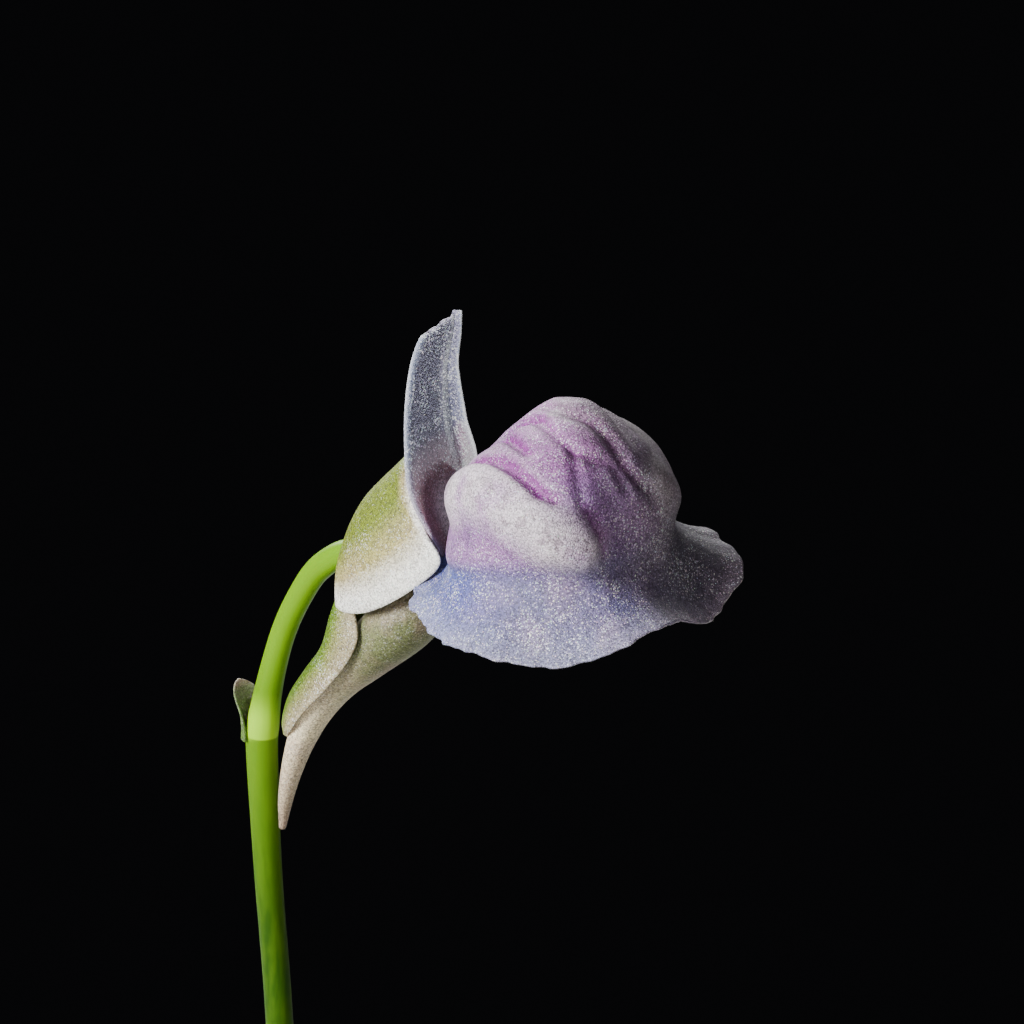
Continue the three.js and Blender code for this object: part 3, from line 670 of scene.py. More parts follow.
def make_upper_lip():
    rows, columns = 150, 90
    side, share = np.meshgrid(np.linspace(-1, 1, columns + 1), np.linspace(0, 1, rows + 1))
    near = side < 0
    # The tip is stepped: its top is lower by these shares of its length.
    shoulder = 0.075 * (1 - step(side, 0.3, 1)) + 0.03 * (1 - step(side, -0.45, -0.3))
    shoulder += 0.04 * step(-side, 0.6, 1)
    place = share * (1 - shoulder)
    middles, ahead = smooth_line(UPPER_LIP_LINE, place.ravel())
    middles = middles.reshape(rows + 1, columns + 1, 3)
    ahead = ahead.reshape(rows + 1, columns + 1, 3)
    forward = np.stack([ahead[..., 2], np.zeros_like(side), -ahead[..., 0]], axis=-1)
    width = np.where(near, eased(UPPER_LIP_NEAR_WIDTHS, place), eased(UPPER_LIP_FAR_WIDTHS, place))
    cup = np.where(near, eased(UPPER_LIP_NEAR_CUP, place), eased(UPPER_LIP_FAR_CUP, place))
    channel = CHANNEL_DEPTH * bump(side, CHANNEL_PLACE, 0.1) * step(share, 0.1, 0.35)
    ripple = 0.035 * np.sin(9 * share + 3 * side) * np.abs(side)
    surface = middles + forward * (cup * side**2 + ripple - channel)[..., None]
    surface[..., 1] += UPPER_LIP_MIDDLE + side * width + 0.05 * np.sin(14 * share) * np.abs(side) ** 3
    surface[..., 2] += NODE_HEIGHT
    edge = step(np.maximum(np.abs(side), 2 * share - 1), 0.85, 1)
    thin = (UPPER_LIP_THICKNESS / 2 * (1 - 0.7 * edge))[..., None]
    points, faces = thin_sheet(surface + forward * thin, surface - forward * thin)
    masks = {
        "height": share,
        # Painted light: the margins and the ridge band are painted lighter as highlights, the channel and the
        # far side darker as painted shade, and the foot is painted light where shade falls on it.
        "margin": step(np.abs(side), 0.8, 1),
        "ridge_highlight": bump(side, CHANNEL_PLACE - 0.28, 0.14),
        "channel": bump(side, CHANNEL_PLACE, 0.1) * (1 - step(share, 0.75, 0.9)),
        "foot": (1 - step(share, 0.22, 0.36)) * step(side, -0.6, -0.1),
        "far_side_shade": step(side, 0.0, 0.5),
    }
    return make_piece("upper_lip", points, faces, on_both_faces(masks))


upper_lip = make_upper_lip()


def upper_lip_material():
    material, add = new_material("upper lip petal")
    height, margin, ridge_highlight, channel, foot, far_side_shade = (
        add("ShaderNodeAttribute", attribute_name=name).outputs["Fac"]
        for name in ("height", "margin", "ridge_highlight", "channel", "foot", "far_side_shade")
    )
    spot = add("ShaderNodeTexCoord").outputs["Object"]
    drawn_out = add("ShaderNodeMapping", {"Vector": spot, "Scale": (1.0, 1.0, 0.16)})
    streaks = add("ShaderNodeTexNoise", {"Vector": drawn_out, "Scale": per_metre(0.3), "Detail": 3.0})
    low = add("ShaderNodeMapRange", {"Value": height, "From Min": 0.5, "From Max": 0.24})
    streak = add("ShaderNodeMath", [streaks, low], operation="MULTIPLY")
    # Painted light and shade: the far side and the channel are painted shade, the ridge band and the margins
    # painted highlights, and the foot is painted near white where shade falls on it. The low part is the
    # lip's own pink, partly lightened as painted light.
    colour = layered(add, "#3c3840", [
        (far_side_shade, 0.0, 1.0, 0.7, "#2e2e3a"),
        (low, 0.0, 1.0, 0.9, "#a8747c"),
        (streak, 0.3, 0.6, 0.5, "#6e5462"),
        (ridge_highlight, 0.2, 1.0, 0.5, "#7c7880"),
        (channel, 0.2, 1.0, 0.8, "#24242e"),
        (foot, 0.0, 1.0, 1.0, "#fff0f0"),
        (margin, 0.0, 1.0, 0.5, "#747c9c"),
    ])
    # More painted glints towards the tip.
    glints = add("ShaderNodeMapRange", {"Value": height, "To Min": 0.6, "To Max": 1.0})
    colour, relief, gleam = glistening(add, colour, glints, 0.7)
    petal_shader(add, colour, relief, gleam, 1.0, 0.9, (0.9, 0.95, 1.0))
    return material


finish_piece(upper_lip, upper_lip_material(), "upper_lip", "corolla_upper_lip")

# %% [markdown]
# ## The spur
#
# The spur is the petal tube's nectar horn. It starts wide behind the lower lip and narrows to a fine tip
# that hangs beside the stalk: a tube along a curve, rather wider than it is deep.

# %% Tubes along a curve
def tube_rings(line, radii, rings, sides, breadth=1.0):
    """Rings of points round a curve with rounded ends, and the share of the way along at each point."""
    shares = np.linspace(0, 1, rings)
    middles, ahead = smooth_line(line, shares)
    radius = eased(radii, shares)
    rounding = np.radians([80, 60, 40, 20])
    ends = -np.sin(rounding) * radius[0], np.sin(rounding[::-1]) * radius[-1]
    reach = np.concatenate([ends[0], np.zeros(rings), ends[1]])
    shrink = np.concatenate([np.cos(rounding), np.ones(rings), np.cos(rounding[::-1])])
    rows = np.concatenate([[0] * 4, np.arange(rings), [rings - 1] * 4])
    middles = middles[rows] + ahead[rows] * reach[:, None]
    radius = radius[rows] * shrink
    side = np.array([0.0, 1.0, 0.0])
    up = np.cross(ahead[rows], side)
    up /= np.linalg.norm(up, axis=1, keepdims=True)
    turns = np.linspace(0, 2 * math.pi, sides, endpoint=False)[None, :, None]
    around = np.cos(turns) * breadth * side + np.sin(turns) * up[:, None]
    return middles[:, None] + radius[:, None, None] * around, np.repeat(shares[rows], sides)


# %% The spur
SPUR_LINE = [
    (6.25, 5.7), (5.65, 5.05), (5.0, 4.4), (3.8, 3.26), (2.76, 2.25), (1.97, 1.2), (1.43, 0.12), (1.07, -0.9),
    (0.84, -1.86), (0.73, -2.68),
]
SPUR_RADII = [0.65, 0.88, 0.94, 0.78, 0.63, 0.51, 0.39, 0.29, 0.2, 0.1]
SPUR_BREADTH = 1.3


def make_spur():
    rings, shares = tube_rings(SPUR_LINE, SPUR_RADII, 150, 56, SPUR_BREADTH)
    points, faces = closed_tube(rings)
    points[:, 2] += NODE_HEIGHT
    return make_piece("spur", points, faces, {"along": np.append(shares, [0, 1])})


spur = make_spur()


def spur_material():
    material, add = new_material("spur petal")
    along = add("ShaderNodeAttribute", attribute_name="along").outputs["Fac"]
    spot = add("ShaderNodeTexCoord").outputs["Object"]
    cloud = add("ShaderNodeTexNoise", {"Vector": spot, "Scale": per_metre(1.3), "Detail": 4.0})
    colour = layered(add, "#686e42", [
        (along, 0.3, 0.55, 0.9, "#f2e2bc"),
        (cloud, 0.42, 0.65, 0.4, "#b4908a"),
        (along, 0.62, 1.0, 0.85, "#8a6f5e"),
    ])
    # Painted glints, fewer than on the lips.
    colour, relief, gleam = glistening(add, colour, 0.35, 0.4)
    petal_shader(add, colour, relief, gleam, 0.5, 0.3)
    return material


finish_piece(spur, spur_material(), "spur", "corolla_spur")

# %% [markdown]
# ## The calyx
#
# Two sepals hold the flower: a hood over its back and a narrow scoop along the spur. Each is half an
# ellipse in section, so a row of the table gives where its back is, where its two margins are and how wide
# it is. The hood is green on its back, creamy down its sides and white at its margin; the scoop stays
# green.

# %% The calyx
# Each row is the back's x and z, the margins' x and z, and half of the width between the margins.
UPPER_SEPAL = [
    (3.2, 6.6, 3.4, 5.6, 0.7), (3.3, 6.9, 3.5, 4.95, 1.1), (3.55, 7.55, 4.4, 4.98, 1.4),
    (3.95, 8.2, 5.5, 5.45, 1.65), (4.45, 8.75, 6.75, 6.3, 1.75), (4.85, 9.15, 7.6, 7.2, 1.7),
    (5.1, 9.4, 6.95, 8.0, 1.5), (5.25, 9.55, 6.3, 8.85, 1.15), (5.4, 9.7, 5.8, 9.5, 0.6),
]
LOWER_SEPAL = [
    (2.9, 5.0, 4.0, 4.85, 0.9), (2.7, 4.35, 4.4, 4.2, 1.32), (2.38, 3.35, 4.0, 3.35, 1.3),
    (1.72, 2.45, 3.1, 2.3, 1.15), (1.17, 1.62, 2.2, 1.4, 0.95), (0.92, 0.85, 1.6, 0.7, 0.74),
    (0.9, 0.35, 1.25, 0.33, 0.45),
]
SEPAL_THICKNESS = 0.2


def sepal_surface(rows, across, share, inset):
    back_x, back_z, margin_x, margin_z, half = np.moveaxis(eased(rows, share), -1, 0)
    turn = across * math.pi / 2
    depth = np.hypot(margin_x - back_x, margin_z - back_z)
    start = np.minimum(0.8, inset / depth)
    reach = start + (1 - start) * (1 - np.cos(turn))
    y = np.sin(turn) * np.maximum(0.1, half - inset)
    return np.stack([mix(back_x, margin_x, reach), y, mix(back_z, margin_z, reach) + NODE_HEIGHT], axis=-1)


def make_sepal(name, rows):
    across, share = np.meshgrid(np.linspace(-1, 1, 91), np.linspace(0, 1, 91))
    near_edge = np.max([step(np.abs(across), 0.8, 1), step(share, 0.94, 1), 1 - step(share, 0, 0.06)], axis=0)
    inset = SEPAL_THICKNESS * (1 - 0.7 * near_edge)
    outer, inner = (sepal_surface(rows, across, share, depth) for depth in (0, inset))
    points, faces = thin_sheet(outer, inner)
    return make_piece(name, points, faces, on_both_faces({"margin": 1 - np.cos(across * math.pi / 2)}))


hood = make_sepal("calyx_hood", UPPER_SEPAL)
scoop = make_sepal("calyx_scoop", LOWER_SEPAL)


def sepal_material(name, back, side, side_start, margin_colour, most):
    """A sepal's skin: colours for its back, its sides and its margin, of which most is how much shows."""
    material, add = new_material(name)
    margin = add("ShaderNodeAttribute", attribute_name="margin").outputs["Fac"]
    spot = add("ShaderNodeTexCoord").outputs["Object"]
    cloud = add("ShaderNodeTexNoise", {"Vector": spot, "Scale": per_metre(1.2), "Detail": 4.0})
    blush = add("ShaderNodeMath", [cloud, margin], operation="MULTIPLY")
    colour = layered(add, back, [
        (margin, side_start, side_start + 0.3, 1.0, side),
        (blush, 0.15, 0.4, 0.35, "#a98a86"),
        (margin, 0.6, 0.85, most, margin_colour),
    ])
    # Painted glints, most along the margin.
    glints = add("ShaderNodeMapRange", {"Value": margin, "To Min": 0.3, "To Max": 1.0})
    colour, relief, gleam = glistening(add, colour, glints, 0.5)
    petal_shader(add, colour, relief, gleam, 0.5, 0.25)
    return material


hood_skin = sepal_material("upper sepal", "#6c7a16", "#a8a05a", 0.3, "#efece4", 0.95)
scoop_skin = sepal_material("lower sepal", "#5a7810", "#7d8638", 0.25, "#9c9070", 0.9)
finish_piece(hood, hood_skin, "calyx", "calyx_upper_lobe")
finish_piece(scoop, scoop_skin, "calyx", "calyx_lower_lobe")

# %% [markdown]
# ## The flower stalk
#
# A bladderwort's stalk is hardly thicker than a needle, and it is full of green sap. It runs up to a node,
# where a small bract clasps it, and on as the flower's own arched stalk. One tube makes both. Two empty
# scales sit lower down on it, each a small pointed sheet that hugs the stalk like the bract.

# %% The flower stalk
SOIL_TOP = 44
STALK_LINE = [
    (-0.6, 0.1, SOIL_TOP - 8 - NODE_HEIGHT), (-0.75, 0.2, -50), (-0.5, 0.8, -34), (0.1, 1.15, -18),
    (0.05, 0.66, -8.8), (0.02, 0.2, -4), (0, 0, 0), (0.05, 0, 0.4), (0.21, 0, 1.27), (0.5, 0, 2.4),
    (0.86, 0, 3.46), (1.36, 0, 4.47), (2.07, 0, 5.5), (2.97, 0, 6.15), (3.6, 0, 6.3),
]
STALK_RADII = [0.6, 0.55, 0.5, 0.44, 0.41, 0.42, 0.48, 0.48, 0.42, 0.38, 0.37, 0.37, 0.38, 0.4, 0.44]


def make_stalk():
    rings = tube_rings(STALK_LINE, STALK_RADII, 300, 32)[0]
    points, faces = closed_tube(rings)
    height = points[:, 2].copy()
    points[:, 2] += NODE_HEIGHT
    collar = step(height, -0.03, 0.03) * (1 - step(height, 0.5, 1.6))
    return make_piece("green_stalk", points, faces, {"collar": collar})


def make_scale(name, height, heading, length, flare):
    """A small pointed sheet round the stalk from a height above the node, its tip bent outwards."""
    across, share = np.meshgrid(np.linspace(-1, 1, 25), np.linspace(0, 1, 33))
    heights = [point[2] for point in STALK_LINE]
    above = height + share * length
    middle_x, middle_y, radius = (
        np.interp(above, heights, values)
        for values in ([p[0] for p in STALK_LINE], [p[1] for p in STALK_LINE], STALK_RADII)
    )
    turn = heading + across * 1.35 * (1 - share**1.6) ** 0.8 + across * 0.02
    sheets = []
    for offset in (0.12, 0.02):
        reach = radius + offset * (1 - 0.6 * share) + 0.02 + flare * share**2.2
        places = [middle_x + np.cos(turn) * reach, middle_y + np.sin(turn) * reach, above + NODE_HEIGHT]
        sheets.append(np.stack(places, axis=-1))
    points, faces = thin_sheet(*sheets)
    return make_piece(name, points, faces, on_both_faces({"along": share}))


def stalk_material():
    material, add = new_material("green stalk")
    collar = add("ShaderNodeAttribute", attribute_name="collar").outputs["Fac"]
    spot = add("ShaderNodeTexCoord").outputs["Object"]
    drawn_out = add("ShaderNodeMapping", {"Vector": spot, "Scale": (1.0, 1.0, 0.2)})
    streaks = add("ShaderNodeTexNoise", {"Vector": drawn_out, "Scale": per_metre(0.25), "Detail": 3.0})
    place = add("ShaderNodeSeparateXYZ", {"Vector": spot})
    colour = layered(add, "#1f3f00", [
        (place.outputs["Z"], 0.1, 0.109, 1.0, "#5c8400"),
        (streaks, 0.4, 0.7, 0.25, "#5b7c00"),
        (collar, 0.0, 1.0, 0.9, "#8cba18"),
    ])
    relief = add("ShaderNodeBump", {"Height": streaks, "Strength": 0.25, "Distance": 0.03 * MM})
    finish_shader(add, {
        "Base Color": colour,
        "Roughness": 0.42,
        "Specular IOR Level": 0.12,
        "Normal": relief,
        "Subsurface Weight": 0.3,
        "Subsurface Radius": (0.6, 1.0, 0.1),
        "Subsurface Scale": 0.4 * MM,
    })
    return material


def bract_material():
    material, add = new_material("pale bract")
    along = add("ShaderNodeAttribute", attribute_name="along").outputs["Fac"]
    colour = layered(add, "#547424", [
        (along, 0.1, 0.8, 0.9, "#5d7040"),
        (along, 0.85, 1.0, 0.6, "#a08464"),
    ])
    # A few painted glints.
    colour, relief, gleam = glistening(add, colour, 0.2, 0.4)
    petal_shader(add, colour, relief, gleam, 0.3, 0.3)
    return material


stalk = make_stalk()
finish_piece(stalk, stalk_material(), "stalk", "flower_stalk")
bract_skin = bract_material()
for name, height, heading, length, flare in (
    ("bract", -0.1, 0.95 * math.pi, 1.6, 0.8),
    ("upper_scale", -18.3, -0.8, 1.7, 0.35),
    ("lower_scale", -34.5, 2.4, 1.7, 0.35),
):
    finish_piece(make_scale(name, height, heading, length, flare), bract_skin, "stalk")


# %% [markdown]
# ## The clay pot
#
# A small pot is thrown on a wheel, or pressed in a turning mould, so it is one profile turned round an
# axis: a tapered body, a thick rim and one drain hole. The profile's corners are worn round, the wall
# carries faint rings from the fingers that drew it up, and the fired clay is porous: lime blooms where
# water dries out of it, the foot stays damp, and algae grow below the rim.

# %% The clay pot
POT_HEIGHT = 50
POT_SIDES = 200
DRAIN_RADIUS = 4
POT_FLOOR = 4.5
# Each place is a radius and a height, round the wall's section from the drain hole's lower edge.
POT_PROFILE = [
    (DRAIN_RADIUS, 0), (18.1, 0), (19, 0.9), (24.6, 38), (27.1, 38), (27.7, 38.9), (28, 49.1),
    (27.1, POT_HEIGHT), (24.6, POT_HEIGHT), (23.7, 49.1), (14.7, POT_FLOOR), (DRAIN_RADIUS, POT_FLOOR),
]


def worn_profile(corners, spacing):
    """A closed section with its sides split up and its corners cut off twice, which rounds them a little."""
    places = []
    for a, b in zip(np.array(corners, float), np.roll(np.array(corners, float), -1, axis=0)):
        count = max(2, round(np.linalg.norm(b - a) / spacing))
        places.append(a + (b - a) * np.linspace(0, 1, count, endpoint=False)[:, None])
    places = np.concatenate(places)
    for _ in range(2):
        after = np.roll(places, -1, axis=0)
        places = np.stack([mix(places, after, 0.25), mix(places, after, 0.75)], axis=1).reshape(-1, 2)
    return places


def make_pot():
    section = worn_profile(POT_PROFILE, 1.3)
    turns = np.linspace(0, 2 * math.pi, POT_SIDES, endpoint=False)[:, None]
    radius, height = section[:, 0][None], section[:, 1][None]
    wall = step(height, 1.5, 4) * (1 - step(height, 48, 49.5)) * step(radius, 18.5, 19.5)
    rings = 0.035 * np.sin(height * 2.1 + 0.6 * np.sin(turns)) + 0.025 * np.sin(height * 5.3 + turns)
    dents = 0.08 * unevenness(turns * 24, height, 6.0, 4)
    radius = radius - wall * (0.1 + rings + dents)
    height = np.broadcast_to(height, radius.shape)
    points = np.stack([radius * np.cos(turns), radius * np.sin(turns), height], axis=-1)
    index = np.arange(points.shape[0] * points.shape[1]).reshape(points.shape[:2])
    index = np.vstack([index, index[:1]])
    faces = grid_faces(np.hstack([index, index[:, :1]])).tolist()
    return make_piece("clay_pot", points.reshape(-1, 3), faces)


def clay_material():
    material, add = new_material("fired clay")
    spot = add("ShaderNodeTexCoord").outputs["Object"]
    height = add("ShaderNodeSeparateXYZ", {"Vector": spot}).outputs["Z"]
    # The grains of a fired body are about 0.2 mm wide. They are drawn coarser, to be seen from a step away.
    cloud, grain, patches, algae = (
        add("ShaderNodeTexNoise", {"Vector": spot, "Scale": per_metre(size), "Detail": detail})
        for size, detail in ((14, 6.0), (0.45, 4.0), (24, 2.0), (3.5, 6.0))
    )
    specks = add("ShaderNodeTexVoronoi", {"Vector": spot, "Scale": per_metre(1.1)})
    drawn_out = add("ShaderNodeMapping", {"Vector": spot, "Scale": (0.12, 0.12, 1.0)})
    lines = add("ShaderNodeTexNoise", {"Vector": drawn_out, "Scale": per_metre(1.0), "Detail": 4.0})
    bloom = add("ShaderNodeTexNoise", {
        "Vector": spot, "Scale": per_metre(7), "Detail": 8.0, "Roughness": 0.7,
    })
    # The heights between which the bloom comes and goes again, the foot is damp and the rim turns green.
    above, below, foot, rim = (
        add("ShaderNodeMapRange", {"Value": height, "From Min": start * MM, "From Max": full * MM})
        for start, full in ((14, 36), (50, 41), (13, 2), (41, 50))
    )
    patches = add("ShaderNodeMapRange", {"Value": patches, "From Min": 0.38, "From Max": 0.56})
    for factor in (above, below, patches):
        bloom = add("ShaderNodeMath", [bloom, factor], operation="MULTIPLY")
    damp = add("ShaderNodeMath", [foot, cloud], operation="MULTIPLY")
    algae = add("ShaderNodeMath", [algae, rim], operation="MULTIPLY")
    colour = layered(add, "#914726", [
        (cloud, 0.35, 0.68, 0.7, "#a45c35"),
        (lines, 0.5, 0.72, 0.35, "#7c391d"),
        (grain, 0.56, 0.7, 0.5, "#6f331c"),
        (specks.outputs["Distance"], 0.16, 0.08, 0.5, "#be8560"),
        (bloom, 0.38, 0.68, 0.5, "#bfaa94"),
        (damp, 0.2, 0.55, 0.8, "#5e2a15"),
        (algae, 0.42, 0.6, 0.65, "#515a2b"),
    ])
    coarse = add("ShaderNodeMath", [grain, lines], operation="ADD")
    relief = add("ShaderNodeBump", {"Height": coarse, "Strength": 0.5, "Distance": 0.12 * MM})
    rough = add("ShaderNodeMapRange", {
        "Value": damp, "From Min": 0.2, "From Max": 0.6, "To Min": 0.9, "To Max": 0.6,
    })
    finish_shader(add, {"Base Color": colour, "Roughness": rough, "Normal": relief})
    return material


finish_piece(make_pot(), clay_material(), "clay", "pot")

# %% [markdown]
# ## The peat
#
# Bladderworts grow in wet peat with a little sand. The soil is one closed body with an uneven top; loose
# crumbs and grains are strewn on it afterwards.

# %% The peat
SOIL_CELLS = 200
SOIL_BOTTOM = POT_FLOOR + 0.3
SOIL_RELIEF = 0.3


def soil_height(x, y):
    """The soil's top over the ground, hills first and then clods."""
    hills = SOIL_RELIEF * (np.sin(0.37 * x + 1.1) * np.cos(0.29 * y) + 0.6 * np.sin(0.61 * y - 0.43 * x))
    clods = 0.28 * unevenness(x, y, 1.7, 7) + 0.16 * unevenness(x, y, 0.7, 8)
    return SOIL_TOP + hills + clods


def soil_radius(height):
    """The pot's inner radius at a height, less the gap that the soil keeps."""
    return mix(15.6, 23.7, (height - POT_FLOOR) / (POT_HEIGHT - POT_FLOOR)) - 0.35


def make_soil():
    spread = np.linspace(-1, 1, SOIL_CELLS + 1)
    turn, share = rounded_places(*np.meshgrid(spread, spread))
    top_x, top_y = (share * soil_radius(SOIL_TOP) * f(turn) for f in (np.cos, np.sin))
    low_x, low_y = (share * soil_radius(SOIL_BOTTOM) * f(turn) for f in (np.cos, np.sin))
    edge = step(share, 0.96, 1)
    top = np.stack([top_x, top_y, mix(soil_height(top_x, top_y), SOIL_TOP - 0.5, edge)], axis=-1)
    bottom = np.stack([low_x, low_y, np.full_like(low_x, SOIL_BOTTOM)], axis=-1)
    points, faces = thin_sheet(top, bottom)
    return make_piece("peat_soil", points, faces)


def peat_material():
    material, add = new_material("wet peat")
    spot = add("ShaderNodeTexCoord").outputs["Object"]
    clods, fibres, green = (
        add("ShaderNodeTexNoise", {"Vector": spot, "Scale": per_metre(size), "Detail": detail, **options})
        for size, detail, options in (
            (1.4, 8.0, {"Roughness": 0.7}), (0.4, 6.0, {"Distortion": 2.0}), (6, 5.0, {}),
        )
    )
    colour = layered(add, "#2b1a10", [
        (clods, 0.42, 0.66, 0.8, "#4a2f1c"),
        (fibres, 0.56, 0.72, 0.7, "#6e4a2c"),
        (green, 0.52, 0.68, 0.5, "#3f4a1c"),
    ])
    height = add("ShaderNodeMath", [clods, fibres], operation="ADD")
    relief = add("ShaderNodeBump", {"Height": height, "Strength": 0.9, "Distance": 0.35 * MM})
    rough = add("ShaderNodeMapRange", {
        "Value": clods, "From Min": 0.35, "From Max": 0.6, "To Min": 0.45, "To Max": 0.9,
    })
    finish_shader(add, {"Base Color": colour, "Roughness": rough, "Normal": relief})
    return material


peat = peat_material()
finish_piece(make_soil(), peat, "soil", "soil")

# %% [markdown]
# ## What grows on the peat
#
# A bladderwort's leaves come up singly from runners under the soil until they cover the pot like a lawn.
# Each is a narrow blade with a blunt tip. Hundreds of them follow one rule, so Geometry Nodes make them:
# points are spread over the soil, no two too close, a plain upright blade is set on each, turned and drawn
# out at random, and the joined blades are then bent over, outwards near the wall and any way elsewhere. The
# moss between them is the same tree with blades a tenth as long, and crumbs of peat and grains of sand come
# from a second tree.

# %% Geometry Nodes
PLANTED_RADIUS = 21.6
NEAR_WALL = 17.5
STALK_FOOT = (-0.65, 0.15)


def make_ground(name, inner, outer):
    """A ring of the soil's top, from which a tree grows something."""
    reach, turn = np.meshgrid(np.linspace(inner, outer, 24), np.linspace(0, 2 * math.pi, 97))
    x, y = reach * np.cos(turn), reach * np.sin(turn)
    points = np.stack([x, y, soil_height(x, y)], axis=-1) * MM
    mesh = bpy.data.meshes.new(name)
    index = np.arange(x.size).reshape(x.shape)
    mesh.from_pydata(points.reshape(-1, 3).tolist(), [], grid_faces(index)[:, ::-1].tolist())
    ground = bpy.data.objects.new(name, mesh)
    bpy.context.scene.collection.objects.link(ground)
    return ground


def new_growth(name, sizes):
    """An empty tree for a modifier, with an input for each size and for a seed, and add_node for it."""
    tree = bpy.data.node_groups.new(name, "GeometryNodeTree")
    tree.interface.new_socket("Geometry", in_out="INPUT", socket_type="NodeSocketGeometry")
    tree.interface.new_socket("Geometry", in_out="OUTPUT", socket_type="NodeSocketGeometry")
    for size in sizes:
        tree.interface.new_socket(size, in_out="INPUT", socket_type="NodeSocketFloat")
    tree.interface.new_socket("Seed", in_out="INPUT", socket_type="NodeSocketInt")
    return tree, partial(add_node, tree)


def grow(name, ground, tree, sizes):
    """What a tree makes of a ground, as a plain object. The ground is removed."""
    modifier = ground.modifiers.new(name, "NODES")
    modifier.node_group = tree
    for socket in tree.interface.items_tree:
        if socket.in_out == "INPUT" and socket.name in sizes:
            modifier[socket.identifier] = sizes[socket.name]
    evaluated = ground.evaluated_get(bpy.context.evaluated_depsgraph_get())
    mesh = bpy.data.meshes.new_from_object(evaluated)
    mesh.name = name
    bpy.data.objects.remove(ground)
    made = bpy.data.objects.new(name, mesh)
    bpy.context.scene.collection.objects.link(made)
    print(name, len(mesh.polygons), "faces")
    return made


